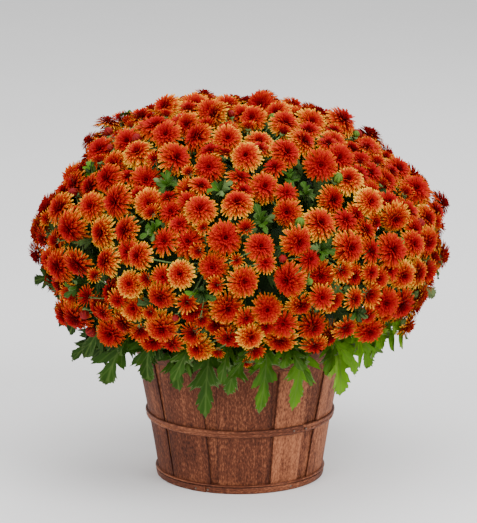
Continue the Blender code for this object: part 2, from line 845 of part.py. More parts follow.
def site_leaf_solid(point, normal, number, draw, thick):
    """One leaf that stands up between blooms, from the inner foliage to the dome."""
    outward = Vector(normal)
    tip = Vector(point) + outward * 0.004
    root = Vector(point) - outward * 0.072
    root.z = max(root.z, 0.215)
    root = inside_core(root, number, 0.014)
    side = outward.orthogonal().normalized()
    side.rotate(Matrix.Rotation(math.pi * draw[0], 3, outward))
    bend = (root + tip) / 2 + side.cross(outward) * 0.008 * draw[1]
    width = 0.027 - 0.004 * abs(draw[2])
    return leaf_solid(SMALL_LEAF, root, bend, tip, side, width, 0.0015, thick)


class Clearance:
    """Solids that a new leaf has to stay clear of, by the stem that holds them."""

    def __init__(self):
        self.trees = []

    def add(self, owner, *solids):
        """Keep solids, which a leaf of the same owner may touch."""
        points, faces = [], []
        for bm in solids:
            bm.verts.index_update()
            start = len(points)
            points += [vert.co.copy() for vert in bm.verts]
            faces += [[start + vert.index for vert in face.verts] for face in bm.faces]
        self.trees.append((owner, BVHTree.FromPolygons(points, faces)))

    def free(self, owner, bm):
        """Whether a solid meets nothing that belongs to another owner."""
        tree = BVHTree.FromBMesh(bm)
        return not any(
            other != owner and tree.overlap(kept) for other, kept in self.trees
        )


def grow_leaf(make, owner, clearance, rng):
    """First of several draws of a leaf that is clear of its neighbours, or none."""
    for attempt in range(LEAF_TRIES):
        draw = rng.uniform(-1, 1, 3) * (1 + 2 * attempt / LEAF_TRIES)
        fat = make(draw, LEAF_THICK + 2 * LEAF_MARGIN)
        found = clearance.free(owner, fat)
        fat.free()
        if found:
            leaf = make(draw, LEAF_THICK)
            clearance.add(f"leaf {len(clearance.trees)}", leaf)
            return leaf
    return None


def build_leafy_stems(field, blooms):
    """Each stem as one body: stem, inner foliage, branches to the sprays, and leaves."""
    rng = np.random.default_rng(SEED + 4)
    clearance = Clearance()
    clearance.add("blooms", *blooms)
    pieces = []
    for number in range(STEM_COUNT):
        foot_height = SOIL_TOP - STEM_HOLE_DEPTH + 0.0004
        foot = place(stem_azimuth(number), STEM_RING, foot_height)
        head = foot + Vector((0, 0, 0.23 - foot_height))
        core = core_solid(number, rng)
        clearance.add(number, core)
        pieces.append([core, prism(foot, head, STEM_RADIUS, STEM_RADIUS, 6)])
    reach = HUB_FLAT * HUB_RADIUS + CLEARANCE + 0.00005
    for hub, normal in zip(field.hubs, field.hub_normals):
        number = sector_of(hub)
        outward = Vector(normal)
        end = Vector(hub) - outward * reach
        start = inside_core(end, number, 0.045)
        branch = prism(start, end, BRANCH_RADIUS, BRANCH_RADIUS, 3, outward)
        clearance.add("branch", branch)
        pieces[number].append(branch)
    for azimuth, *sizes in skirt_leaves():
        number = sector_of(place(azimuth, 1.0, 0.0))

        def skirt(draw, thick):
            return skirt_leaf_solid(azimuth, *sizes, draw, thick)

        pieces[number].append(grow_leaf(skirt, number, clearance, rng))
    for point, normal in zip(field.leaf_points, field.leaf_normals):
        number = sector_of(point)

        def upright(draw, thick):
            return site_leaf_solid(point, normal, number, draw, thick)

        pieces[number].append(grow_leaf(upright, number, clearance, rng))
    for number, parts in enumerate(pieces):
        colour = (0.045, 0.085 + 0.01 * (number % 2), 0.018)
        grown = [part for part in parts if part is not None]
        unite(f"leafy_stem_{number + 1}", grown, colour, 0.6)


def main():
    """Clear the scene and build the basket, the pot, the stems and the blooms."""
    for obj in list(bpy.data.objects):
        bpy.data.objects.remove(obj)
    build_staves()
    build_hoops()
    build_floor_pot_soil()
    field = BloomField()
    sprays = spray_solids(field)
    build_leafy_stems(field, [bloom for pieces in sprays for bloom in pieces])
    unite_sprays(sprays)


main()
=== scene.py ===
"""Looks of a pot chrysanthemum in a split-wood basket.

The dome carries double blooms in red and gold over lobed leaves. The basket has stained staves and
bent hoops. Metres, +Z up, front towards -Y; azimuths are in degrees from the front, positive towards +X.
"""

import logging
import math
from dataclasses import dataclass, field
from enum import Enum
from typing import TypeAlias

import bpy
import numpy as np
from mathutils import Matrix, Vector


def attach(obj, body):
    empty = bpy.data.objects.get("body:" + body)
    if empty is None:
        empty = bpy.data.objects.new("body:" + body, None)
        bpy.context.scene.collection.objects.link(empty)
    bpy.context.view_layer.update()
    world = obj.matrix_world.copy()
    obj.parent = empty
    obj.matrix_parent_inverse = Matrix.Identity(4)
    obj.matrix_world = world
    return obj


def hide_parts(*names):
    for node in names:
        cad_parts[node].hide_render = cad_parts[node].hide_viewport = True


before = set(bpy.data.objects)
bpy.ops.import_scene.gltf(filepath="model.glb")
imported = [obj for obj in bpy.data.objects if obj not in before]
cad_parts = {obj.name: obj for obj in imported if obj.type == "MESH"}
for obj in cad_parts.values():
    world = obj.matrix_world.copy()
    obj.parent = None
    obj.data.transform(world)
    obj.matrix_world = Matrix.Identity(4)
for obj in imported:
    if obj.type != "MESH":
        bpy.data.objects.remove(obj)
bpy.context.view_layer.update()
BODY = "root"
ROUND = 2 * math.pi
LOG = logging.getLogger("pot_chrysanthemum")
# Ranges for the start of a wave in radians and for the shift of a texture, drawn for each shape
WAVE_STARTS = (0, 6)
TEXTURE_SHIFTS = (0, 9)

Array: TypeAlias = np.ndarray
Colour: TypeAlias = tuple[float, float, float]
Material: TypeAlias = bpy.types.Material
Rng: TypeAlias = np.random.Generator
Rows: TypeAlias = tuple[tuple[float, ...], ...]
Span: TypeAlias = tuple[float, float]
Stops: TypeAlias = tuple[tuple[float, Colour], ...]
Value: TypeAlias = "Wire | float"


# Shader expressions


class Wire:
    """A node's output, with arithmetic that adds Math nodes."""

    def __init__(self, kit: "NodeKit", socket: bpy.types.NodeSocket) -> None:
        self.kit = kit
        self.socket = socket

    def _math(self, operation: str, *values: Value) -> "Wire":
        """Result of a Math node on values in the order of its sockets."""
        return self.kit.node("ShaderNodeMath", {"operation": operation}, dict(enumerate(values)))

    def __add__(self, other: Value) -> "Wire":
        """Sum of two values."""
        return self._math("ADD", self, other)

    __radd__ = __add__

    def __sub__(self, other: Value) -> "Wire":
        """Difference of two values."""
        return self._math("SUBTRACT", self, other)

    def __rsub__(self, other: Value) -> "Wire":
        """Difference with this value taken away."""
        return self._math("SUBTRACT", other, self)

    def __mul__(self, other: Value) -> "Wire":
        """Product of two values."""
        return self._math("MULTIPLY", self, other)

    __rmul__ = __mul__

    def __pow__(self, other: Value) -> "Wire":
        """This value raised to a power."""
        return self._math("POWER", self, other)

    def __neg__(self) -> "Wire":
        """This value with its sign turned."""
        return 0.0 - self

    def __abs__(self) -> "Wire":
        """Size of this value without its sign."""
        return self._math("ABSOLUTE", self)

    def sine(self) -> "Wire":
        """Sine of this value in radians."""
        return self._math("SINE", self)

    def clamped(self) -> "Wire":
        """This value held between 0 and 1."""
        return self.kit.node("ShaderNodeClamp", {}, {"Value": self})


class NodeKit:
    """One material's nodes."""

    def __init__(self, name: str) -> None:
        """Start a material with an empty node tree.

        Args:
            name: The material's name.
        """
        self.material = bpy.data.materials.new(name)
        self.material.use_nodes = True
        self.tree = self.material.node_tree
        self.tree.nodes.clear()

    def node(self, kind: str, settings: dict, inputs: dict, output: str | int = 0) -> Wire:
        """Add a node, set it, then fill its sockets.

        Args:
            kind: The node's type.
            settings: Its properties; a ramp's stops are under "stops".
            inputs: Values or wires for its sockets, by name or number.
            output: The socket to give back.

        Returns:
            The chosen output.
        """
        made = self.tree.nodes.new(kind)
        for name, value in settings.items():
            if name == "stops":
                self._set_stops(made.color_ramp, value)
            else:
                setattr(made, name, value)
        for name, value in inputs.items():
            if isinstance(value, Wire):
                self.tree.links.new(value.socket, made.inputs[name])
            else:
                made.inputs[name].default_value = value
        return Wire(self, made.outputs[output])

    @staticmethod
    def _set_stops(ramp: bpy.types.ColorRamp, stops: Stops) -> None:
        """Fill a colour ramp.

        Args:
            ramp: The ramp.
            stops: Position and colour of each stop.
        """
        while len(ramp.elements) < len(stops):
            ramp.elements.new(1.0)
        for element, (position, colour) in zip(ramp.elements, stops):
            element.position = position
            element.color = (*colour, 1.0)

    def attribute(self, name: str, part: str = "Fac") -> Wire:
        """Value that the mesh holds at each point, from one of the node's outputs."""
        return self.node("ShaderNodeAttribute", {"attribute_name": name}, {}, part)

    def ramp(self, factor: Wire, stops: Stops) -> Wire:
        """Colour at a place along a ramp's stops."""
        return self.node("ShaderNodeValToRGB", {"stops": stops}, {"Fac": factor})

    def blend(self, factor: Wire, near: Wire | Colour, far: Wire | Colour) -> Wire:
        """Mix of two colours; the factor is how much of the second."""
        sockets = {0: factor, 6: self._rgba(near), 7: self._rgba(far)}
        return self.node("ShaderNodeMix", {"data_type": "RGBA"}, sockets, 2)

    @staticmethod
    def _rgba(colour: Wire | Colour) -> object:
        """Colour as a socket takes it, with its alpha."""
        return colour if isinstance(colour, Wire) else (*colour, 1.0)

    def noise(self, place: Wire | None, scale: float, detail: float, rough: float = 0.55) -> Wire:
        """Cloudy value from 0 to 1.

        Args:
            place: Coordinates, or none for the object's own.
            scale: Clouds per unit.
            detail: How many finer layers.
            rough: Strength of the finer layers.

        Returns:
            The noise value.
        """
        place = place or self.node("ShaderNodeTexCoord", {}, {}, "Object")
        sockets = {"Vector": place, "Scale": scale, "Detail": detail, "Roughness": rough}
        return self.node("ShaderNodeTexNoise", {}, sockets)

    def grain(self, squash: float, scale: float, detail: float, rough: float = 0.6) -> Wire:
        """Noise drawn out along a strip of wood.

        Args:
            squash: Factor on the coordinate along the strip.
            scale: Lines per metre across it.
            detail: How many finer layers.
            rough: Strength of the finer layers.

        Returns:
            The noise value.
        """
        sockets = {"Vector": self.attribute("lie", "Vector"), "Scale": (1.0, squash, 1.0)}
        return self.noise(self.node("ShaderNodeMapping", {}, sockets), scale, detail, rough)

    def finish(
        self, colour: Wire, roughness: Value, relief: tuple | None = None, **constants: float
    ) -> Material:
        """Close the material with a Principled shader.

        Args:
            colour: Base colour.
            roughness: Its roughness.
            relief: Height, strength and depth in metres of its bumps.
            constants: Other inputs, with spaces written as underscores.

        Returns:
            The material.
        """
        inputs = {"Base Color": colour, "Roughness": roughness}
        inputs.update({name.replace("_", " "): value for name, value in constants.items()})
        if relief:
            sockets = dict(zip(("Height", "Strength", "Distance"), relief))
            inputs["Normal"] = self.node("ShaderNodeBump", {}, sockets)
        shader = self.node("ShaderNodeBsdfPrincipled", {}, inputs)
        end = self.tree.nodes.new("ShaderNodeOutputMaterial")
        self.tree.links.new(shader.socket, end.inputs["Surface"])
        return self.material


# Finishes


@dataclass(frozen=True)
class PetalFinish:
    """Petals, deep red at the heart and golden at the tips, with painted shade towards each petal's base
    and painted highlight on the golden edges.
    """

    stops: Stops = (
        (0.00, (0.200, 0.0008, 0.004)),
        (0.22, (0.33, 0.0015, 0.004)),
        (0.44, (0.46, 0.022, 0.002)),
        (0.60, (0.58, 0.088, 0.002)),
        (0.78, (0.76, 0.25, 0.003)),
        (1.00, (0.88, 0.50, 0.040)),
    )

    def make(self) -> Material:
        """Build the material.

        Returns:
            The petal material.
        """
        kit = NodeKit("petal")
        along, across, whorl, tone = map(kit.attribute, ("along", "across", "whorl", "tone"))
        lie = kit.attribute("lie", "Vector")
        streak = kit.noise(lie, 260.0, 3.0)
        inner = (1.0 - whorl * 1.20).clamped()
        tip = along**5.0 * (tone * 0.60 + 0.18) * inner
        # The bright line along each petal's edge is its real golden margin, made stronger so that it also
        # stands for painted highlights on the petal edges.
        margin = (inner * 0.38 + 0.27) * (tone * 0.6 + 0.72)
        edge = abs(across) ** 4.0 * along**1.1 * margin
        outermost = (1.0 - whorl * 6.0).clamped() * 0.08
        # along * 0.18 lightens each petal towards its tip, so its base stays dark: partly the real
        # crimson heart, partly painted shade where the petals overlap.
        ground = inner * (tone * 0.16 + 0.12) + along * 0.18 + outermost
        ripe = ground + tip + edge + (streak - 0.5) * 0.3 - whorl * 0.06 - 0.02
        colour = kit.ramp(ripe.clamped(), self.stops)
        relief = (kit.noise(lie, 900.0, 2.0), 0.35, 0.0004)
        return kit.finish(colour, 0.55 + streak * 0.2, relief, Specular_IOR_Level=0.07)


@dataclass(frozen=True)
class LeafFinish:
    """Leaf blades with a net of veins, paler beneath."""

    # The dark end of the ramp is painted shade, taken by leaves deep in the bush and on the plant's side
    # away from the light.
    stops: Stops = (
        (0.05, (0.006, 0.018, 0.002)),
        (0.55, (0.032, 0.094, 0.003)),
        (0.86, (0.13, 0.31, 0.006)),
        (1.00, (0.34, 0.50, 0.09)),
    )
    vein: Colour = (0.10, 0.17, 0.03)
    under: Colour = (0.12, 0.17, 0.06)

    def make(self) -> Material:
        """Build the material.

        Returns:
            The leaf material.
        """
        kit = NodeKit("leaf")
        along, across, tone, beneath = map(kit.attribute, ("along", "across", "tone", "under"))
        across = abs(across)
        cloud = kit.noise(kit.attribute("lie", "Vector"), 60.0, 5.0)
        midrib = 1.0 - (across * 16.0).clamped()
        wave = abs(((along - across * 0.30) * 22.0).sine())
        side_vein = wave**14.0 * 0.6 * (1.0 - across * 0.7)
        veins = (midrib + side_vein).clamped() * 0.45
        blade = kit.ramp((tone * 0.80 + cloud * 0.34 - 0.10).clamped(), self.stops)
        face = kit.blend(veins, blade, self.vein)
        colour = kit.blend(beneath * tone * 1.5, face, self.under)
        relief = (cloud * 0.5 - veins, 0.7, 0.0010)
        return kit.finish(colour, 0.46 + cloud * 0.20, relief, Specular_IOR_Level=0.12)


@dataclass(frozen=True)
class StalkFinish:
    """Green stalks and bud scales, browner low on the plant."""

    young: Colour = (0.13, 0.22, 0.05)
    woody: Colour = (0.09, 0.065, 0.03)

    def make(self) -> Material:
        """Build the material.

        Returns:
            The stalk material.
        """
        kit = NodeKit("stalk")
        cloud = kit.noise(None, 240.0, 4.0)
        age = (1.0 - kit.attribute("along") * 1.1 + (cloud - 0.5) * 0.5).clamped()
        colour = kit.blend(age, self.young, self.woody)
        return kit.finish(colour, 0.55 + cloud * 0.15, (cloud, 0.3, 0.0005))


@dataclass(frozen=True)
class BudFinish:
    """Closed flowers: wrapped red petals that fade to green at the foot, with painted shade in the
    grooves between them.
    """

    crown: Colour = (0.22, 0.003, 0.005)
    foot: Colour = (0.10, 0.19, 0.02)
    # Near-black colour painted into the grooves between the wrapped petals as painted shade.
    groove_shade: Colour = (0.020, 0.004, 0.002)
    margin: Colour = (0.46, 0.20, 0.030)

    def make(self) -> Material:
        """Build the material.

        Returns:
            The bud material.
        """
        kit = NodeKit("bud")
        along, tone, rib = map(kit.attribute, ("along", "tone", "across"))
        cloud = kit.noise(None, 500.0, 3.0)
        ripe = (along * 1.2 + tone * 3.0 - 1.6 + (cloud - 0.5) * 0.4).clamped()
        petal = kit.blend(ripe, self.foot, self.crown)
        shaded = kit.blend((-rib).clamped() * 0.8, petal, self.groove_shade)
        crest = (rib * 2.2 - 1.0).clamped() * along
        colour = kit.blend(crest * 0.6, shaded, self.margin)
        relief = (cloud, 0.3, 0.0004)
        return kit.finish(colour, 0.55 + cloud * 0.2, relief, Specular_IOR_Level=0.15)


@dataclass(frozen=True)
class WoodFinish:
    """Red-brown stain on split wood, with grain along each strip and painted shade along its edges."""

    name: str
    gloss: float
    stops: Stops = (
        (0.02, (0.036, 0.009, 0.005)),
        (0.45, (0.130, 0.036, 0.016)),
        (0.98, (0.430, 0.155, 0.070)),
    )

    def make(self) -> Material:
        """Build the material.

        Returns:
            The wood material.
        """
        kit = NodeKit(self.name)
        fine = kit.grain(0.06, 1500.0, 4.0, 0.7)
        band = kit.grain(0.05, 190.0, 4.0)
        patch = kit.grain(0.40, 30.0, 4.0)
        fleck = kit.grain(0.40, 560.0, 3.0)
        level = kit.attribute("tone") * 0.66
        for noise, strength in ((fine, 0.60), (band, 0.70), (patch, 0.80), (fleck, 1.40)):
            level += (noise - 0.5) * strength
        # The edge value darkens the wood along each strip's edges: painted shade of the seams between
        # staves and of the lines above and below the hoops.
        stain_and_edge_shade = (level + 0.10 - kit.attribute("edge") * 0.45).clamped()
        relief = (fine * 0.5 + fleck * 0.5, 0.6, 0.0008)
        roughness = self.gloss + (fine - 0.5) * 0.25
        return kit.finish(kit.ramp(stain_and_edge_shade, self.stops), roughness, relief, Specular_IOR_Level=0.15)


@dataclass(frozen=True)
class SoilFinish:
    """Dark crumbly compost with pale specks."""

    peat: Colour = (0.022, 0.014, 0.009)
    fibre: Colour = (0.075, 0.050, 0.032)
    speck: Colour = (0.45, 0.43, 0.38)

    def make(self) -> Material:
        """Build the material.

        Returns:
            The soil material.
        """
        kit = NodeKit("soil_crumb")
        crumb = kit.noise(None, 320.0, 6.0, 0.7)
        ground = kit.blend(crumb, self.peat, self.fibre)
        white = ((kit.noise(None, 900.0, 2.0) - 0.70) * 12.0).clamped()
        colour = kit.blend(white, ground, self.speck)
        return kit.finish(colour, 0.85 + crumb * 0.1, (crumb, 0.9, 0.002))


@dataclass(frozen=True)
class PotFinish:
    """Thin black moulded plastic with dust."""

    plastic: Colour = (0.022, 0.022, 0.024)
    dust: Colour = (0.10, 0.085, 0.07)

    def make(self) -> Material:
        """Build the material.

        Returns:
            The pot's material.
        """
        kit = NodeKit("nursery_plastic")
        haze = kit.noise(None, 45.0, 5.0)
        colour = kit.blend(((haze - 0.5) * 1.6).clamped(), self.plastic, self.dust)
        return kit.finish(colour, 0.42 + haze * 0.2, (kit.noise(None, 1400.0, 2.0), 0.2, 0.0003))


@dataclass(frozen=True)
class NailFinish:
    """Small steel nail heads, dulled by stain."""

    steel: Colour = (0.20, 0.15, 0.12)
    stain: Colour = (0.09, 0.05, 0.035)

    def make(self) -> Material:
        """Build the material.

        Returns:
            The nail material.
        """
        kit = NodeKit("nail_steel")
        cloud = kit.noise(None, 900.0, 3.0)
        colour = kit.blend(cloud * 0.6, self.steel, self.stain)
        return kit.finish(colour, 0.35 + cloud * 0.3, Metallic=0.8)


# Shapes


def place(azimuth: Array | float, radius: Array | float, height: Array | float) -> Array:
    """Points at azimuths in degrees from the front.

    Args:
        azimuth: Azimuths.
        radius: Distances from the upright axis.
        height: Heights.

    Returns:
        Points, with x, y and z along the last axis.
    """
    turn = np.radians(azimuth)
    return np.stack(np.broadcast_arrays(radius * np.sin(turn), -radius * np.cos(turn), height), -1)


def azimuth_of(points: Array) -> Array:
    """Azimuths of points in degrees from the front."""
    return np.degrees(np.arctan2(points[..., 0], -points[..., 1]))


def half_turn(azimuth: float) -> float:
    """An azimuth as degrees from -180 to 180."""
    return (azimuth + 180.0) % 360.0 - 180.0


def either_way(rng: Rng, most: float) -> float:
    """A random amount to either side of 0."""
    return rng.uniform(-most, most)


def share(value: float) -> float:
    """A value held between 0 and 1."""
    return float(np.clip(value, 0, 1))


def unit(vectors: Array) -> Array:
    """Vectors scaled to length one."""
    return vectors / np.linalg.norm(vectors, axis=-1, keepdims=True)


def square_to(axis: Array, steep: float = 0.9) -> tuple[Array, Array]:
    """Find two unit vectors square to an axis and to each other.

    Args:
        axis: One unit vector, or many.
        steep: How near to upright an axis may be and still be crossed with the upright.

    Returns:
        The two vectors, for each axis.
    """
    helper = np.where(np.abs(axis[..., 2:3]) < steep, [0.0, 0.0, 1.0], [1.0, 0.0, 0.0])
    side = unit(np.cross(axis, helper))
    return side, np.cross(axis, side)


def bent(root: Array, bend: Array, tip: Array, part: Array) -> Array:
    """Points at shares of the way along a curve that leans towards a bend."""
    back = 1 - part
    return root * back**2 + bend * 2 * part * back + tip * part**2


def grid_faces(rows: int, cols: int, wrap: bool = False) -> Array:
    """Four-sided faces over a grid of points.

    Args:
        rows: Points along the first axis.
        cols: Points along the second axis.
        wrap: Whether the last column joins the first.

    Returns:
        Point numbers, four for each face.
    """
    row, col = np.meshgrid(np.arange(rows - 1), np.arange(cols if wrap else cols - 1), indexing="ij")
    after = (col + 1) % cols
    corners = (row * cols + col, row * cols + after, (row + 1) * cols + after, (row + 1) * cols + col)
    return np.stack(corners, -1).reshape(-1, 4)


class MeshStack:
    """Points and faces gathered from many small shapes."""

    def __init__(self) -> None:
        """Start with nothing."""
        self.points: list[Array] = []
        self.faces: list[Array] = []
        self.values: list[dict[str, Array]] = []
        self.count = 0

    def add(self, points: Array, faces: Array, **values: object) -> None:
        """Add a shape, or several copies of one pattern.

        Args:
            points: Points; with three axes, the first is the copy.
            faces: Point numbers within one copy.
            values: Numbers held at each point, and a vector under the name "lie".
        """
        copies = 1 if points.ndim == 2 else len(points)
        size = points.shape[-2]
        starts = self.count + np.arange(copies)[:, None, None] * size
        self.points.append(points.reshape(-1, 3))
        self.faces.append((faces[None] + starts).reshape(-1, faces.shape[-1]))
        held = {}
        for name, value in values.items():
            value = np.asarray(value, dtype=np.float32)
            value = value if name == "lie" else value[..., None]
            width = 3 if name == "lie" else 1
            held[name] = np.broadcast_to(value, (copies, size, width)).reshape(-1, width)
        self.values.append(held)
        self.count += copies * size

    def tube(self, path: Array, radii: Array, sides: int, along: Array) -> None:
        """Add a round tube with closed ends.

        Args:
            path: Points of its middle line.
            radii: Radius at each point.
            sides: Sides round it.
            along: Value held at each point of the path.
        """
        side, other = square_to(unit(np.gradient(path, axis=0)))
        turn = np.linspace(0, ROUND, sides, endpoint=False)
        spoke = side[:, None] * np.cos(turn)[:, None] + other[:, None] * np.sin(turn)[:, None]
        rings = path[:, None] + spoke * radii[:, None, None]
        points = np.concatenate((path[:1], rings.reshape(-1, 3), path[-1:]))
        held = np.concatenate((along[:1], np.repeat(along, sides), along[-1:]))
        self.add(points, grid_faces(len(path), sides, wrap=True) + 1, along=held)
        ring = np.arange(sides)
        after = (ring + 1) % sides
        last = 1 + (len(path) - 1) * sides
        low = np.stack((np.zeros_like(ring), 1 + after, 1 + ring), -1)
        high = np.stack((np.full_like(ring, len(points) - 1), last + ring, last + after), -1)
        self.faces.append(np.concatenate((low, high)) + self.count - len(points))

    def piece(self, name: str, material: Material) -> bpy.types.Object:
        """Build the object, with its values as attributes, and put it in the scene.

        Args:
            name: Its name.
            material: Its finish.

        Returns:
            The new object.
        """
        mesh = bpy.data.meshes.new(name)
        mesh.vertices.add(self.count)
        mesh.vertices.foreach_set("co", np.concatenate(self.points).ravel())
        corners = np.concatenate([faces.ravel() for faces in self.faces])
        totals = np.concatenate([np.full(len(faces), faces.shape[1]) for faces in self.faces])
        starts = np.concatenate(([0], np.cumsum(totals)[:-1]))
        mesh.loops.add(len(corners))
        mesh.loops.foreach_set("vertex_index", corners.astype(np.int32))
        mesh.polygons.add(len(totals))
        mesh.polygons.foreach_set("loop_start", starts.astype(np.int32))
        mesh.polygons.foreach_set("loop_total", totals.astype(np.int32))
        for key in sorted({key for held in self.values for key in held}):
            width, kind, target = (3, "FLOAT_VECTOR", "vector") if key == "lie" else (1, "FLOAT", "value")
            columns = [
                held.get(key, np.zeros((len(points), width), dtype=np.float32))
                for held, points in zip(self.values, self.points)
            ]
            layer = mesh.attributes.new(key, kind, "POINT")
            layer.data.foreach_set(target, np.concatenate(columns).astype(np.float32).ravel())
        mesh.update(calc_edges=True)
        mesh.validate()
        mesh.shade_smooth()
        mesh.materials.append(material)
        made = bpy.data.objects.new(name, mesh)
        bpy.context.scene.collection.objects.link(made)
        return made

    def show(self, name: str, material: Material, slot: str, *nodes: str, sharp: float = 0.0) -> None:
        """Build one piece of the object, with its body, and hide the nodes that it replaces.

        Args:
            name: The piece's name.
            material: Its finish.
            slot: The slot that the finish belongs to; not used.
            nodes: The CAD nodes that it stands for.
            sharp: Degrees between faces above which their edge is sharp, or 0 for none.
        """
        made = self.piece(name, material)
        if sharp:
            made.data.set_sharp_from_angle(angle=math.radians(sharp))
        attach(made, BODY)
        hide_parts(*nodes)
        LOG.info("%s: %d faces", name, len(made.data.polygons))


# Plan of the plant


@dataclass
class DomePlan:
    """Where each bloom, spray and leaf between blooms sits on the dome, as in the CAD."""

    radius: float = 0.270
    centre: float = 0.322
    rise: float = 0.177
    drop: float = 0.190
    lowest: float = -0.56
    shoulder: tuple[float, float, float] = (0.55, 0.22, 0.06)
    waves: Rows = ((0.012, 3, 0.8, 0.0), (0.010, 5, 0.0, 4.0))
    swells: Rows = (
        (112.0, 0.71, -0.055, 0.140), (-100.0, 0.42, -0.085, 0.030), (-113.0, 0.74, 0.050, 0.025),
        (88.0, -0.12, -0.020, 0.030), (-85.0, -0.24, -0.040, 0.020),
    )
    blooms: int = 262
    bloom_radii: tuple[float, float] = (0.0184, 0.0262)
    gap: float = 0.0008
    oversize: float = 1.14
    sink: float = 0.016
    leaf_sink: float = 0.004
    sprays: int = 24
    hub_depth: float = 0.045
    seed: int = 43
    leaf_sites: Rows = (
        (19.9, 0.463), (-7.2, 0.441), (6.5, 0.391), (23.4, 0.353), (-26.4, 0.374), (-78.0, 0.262),
        (84.0, 0.285),
    )
    spare_sites: int = 15
    spare_ends: tuple[int, int] = (6, 9)
    site_radius: float = 0.0150
    leaf_room: float = 0.021
    site_ring: float = 0.24
    scatter: float = 0.02
    lean_spread: float = 0.10
    away_share: float = 0.3
    low_facing: float = 0.1
    low_lift: float = 0.25
    relax_rounds: int = 160
    relax_step: float = 0.35
    group_rounds: int = 12
    spiral_steps: int = 400
    gap_tries: int = 2600

    def __post_init__(self) -> None:
        """Place everything."""
        rng = np.random.default_rng(self.seed)
        sites = len(self.leaf_sites)
        leaves = sites + self.spare_sites
        start = self.spiral(self.blooms + self.spare_sites)
        first, last = self.spare_ends
        picked = np.linspace(first, len(start) - last, self.spare_sites).astype(int)
        rest = np.setdiff1d(np.arange(len(start)), picked)
        turns, heights = np.array(self.leaf_sites).T
        named = self.to_directions(place(turns, self.site_ring, heights))
        ordered = np.vstack((named, start[picked], start[rest]))
        ordered[sites:] += rng.normal(0, self.scatter, ordered[sites:].shape)
        radii = np.full(len(ordered), self.site_radius)
        radii[leaves:] = rng.uniform(*self.bloom_radii, len(ordered) - leaves)
        ordered = self.relax(self.settle(ordered), radii, sites)
        normals = self.normals(ordered)
        sink = rng.uniform(0, self.sink, len(ordered))
        sink[:leaves] = self.leaf_sink
        points = self.on_dome(ordered) - normals * sink[:, None]
        apart = np.linalg.norm(points[:, None] - points[None], axis=2)
        np.fill_diagonal(apart, 1.0)
        part = radii[:, None] / (radii[:, None] + radii[None])
        room = ((apart - self.gap) * part).min(axis=1)
        self.leaf_points, self.points = np.split(points, [leaves])
        self.leaf_normals, self.facing = np.split(normals, [leaves])
        self.radii = np.minimum(room * self.oversize, radii)[leaves:]
        # The CAD draws each bloom's roll here; drawing it too keeps the later draws the same.
        rng.uniform(0, ROUND, len(self.points))
        self.lean = rng.normal(0, self.lean_spread, self.points.shape)
        self.group_sprays()
        self.turn_blooms()

    def upright(self, height: Array) -> Array:
        """Upright size of the dome for heights above or below its widest ring."""
        return np.where(height >= 0, self.rise, self.drop)

    def swell(self, directions: Array) -> Array:
        """Share of the dome's size that it has in each unit direction.

        Args:
            directions: Unit directions.

        Returns:
            One share for each.
        """
        size = np.ones(len(directions))
        for azimuth, height, gain, spread in self.swells:
            middle = place(azimuth, math.sqrt(1 - height**2), height)
            size += gain * np.exp((directions @ middle - 1) / spread)
        return size

    def on_dome(self, directions: Array) -> Array:
        """Points of the dome.

        Args:
            directions: Unit directions, squashed to the dome's shape.

        Returns:
            Points on the dome.
        """
        height = directions[:, 2]
        middle, spread, depth = self.shoulder
        shoulder = depth * np.exp(-(((height - middle) / spread) ** 2))
        turn = np.arctan2(directions[:, 0], -directions[:, 1])
        wave = np.zeros(len(directions))
        for size, count, phase, twist in self.waves:
            wave += size * np.sin(count * turn + phase + twist * height)
        swell = self.swell(directions)
        reach = self.radius * (1 - shoulder + wave * (1 - height**2)) * swell
        level = self.centre + height * self.upright(height) * swell
        return np.column_stack((directions[:, 0] * reach, directions[:, 1] * reach, level))

    def to_directions(self, points: Array) -> Array:
        """Unit directions of points near the dome."""
        raised = points - [0.0, 0.0, self.centre]
        return self.settle(self.squashed(raised, raised[:, 2]))

    def squashed(self, vectors: Array, height: Array) -> Array:
        """Vectors divided by the dome's size along each axis, at some heights over its middle."""
        wide = np.full(len(vectors), self.radius)
        return vectors / np.column_stack((wide, wide, self.upright(height)))

    def settle(self, directions: Array) -> Array:
        """Bring directions to unit length, none below the lowest ring.

        Args:
            directions: Directions of any length.

        Returns:
            The new directions.
        """
        found = unit(directions)
        low = found[:, 2] < self.lowest
        level = np.linalg.norm(found[low, :2], axis=1)[:, None]
        found[low, :2] *= math.sqrt(1 - self.lowest**2) / level
        found[low, 2] = self.lowest
        return found

    def normals(self, directions: Array) -> Array:
        """Outward unit normals of the dome."""
        return unit(self.squashed(directions, directions[:, 2]))

    def spiral(self, count: int) -> Array:
        """Spread directions evenly by a golden-angle spiral.

        Args:
            count: How many.

        Returns:
            Unit directions.
        """
        heights = np.linspace(1.0, self.lowest, self.spiral_steps)
        radius = self.radius * np.sqrt(np.maximum(1 - heights**2, 0))
        level = np.hypot(np.gradient(radius), np.gradient(heights) * self.upright(heights))
        area = np.cumsum(radius * level)
        height = np.interp((np.arange(count) + 0.5) / count * area[-1], area, heights)
        turn = np.arange(count) * math.pi * (3 - math.sqrt(5))
        flat = np.sqrt(1 - height**2)
        return np.column_stack((flat * np.cos(turn), flat * np.sin(turn), height))

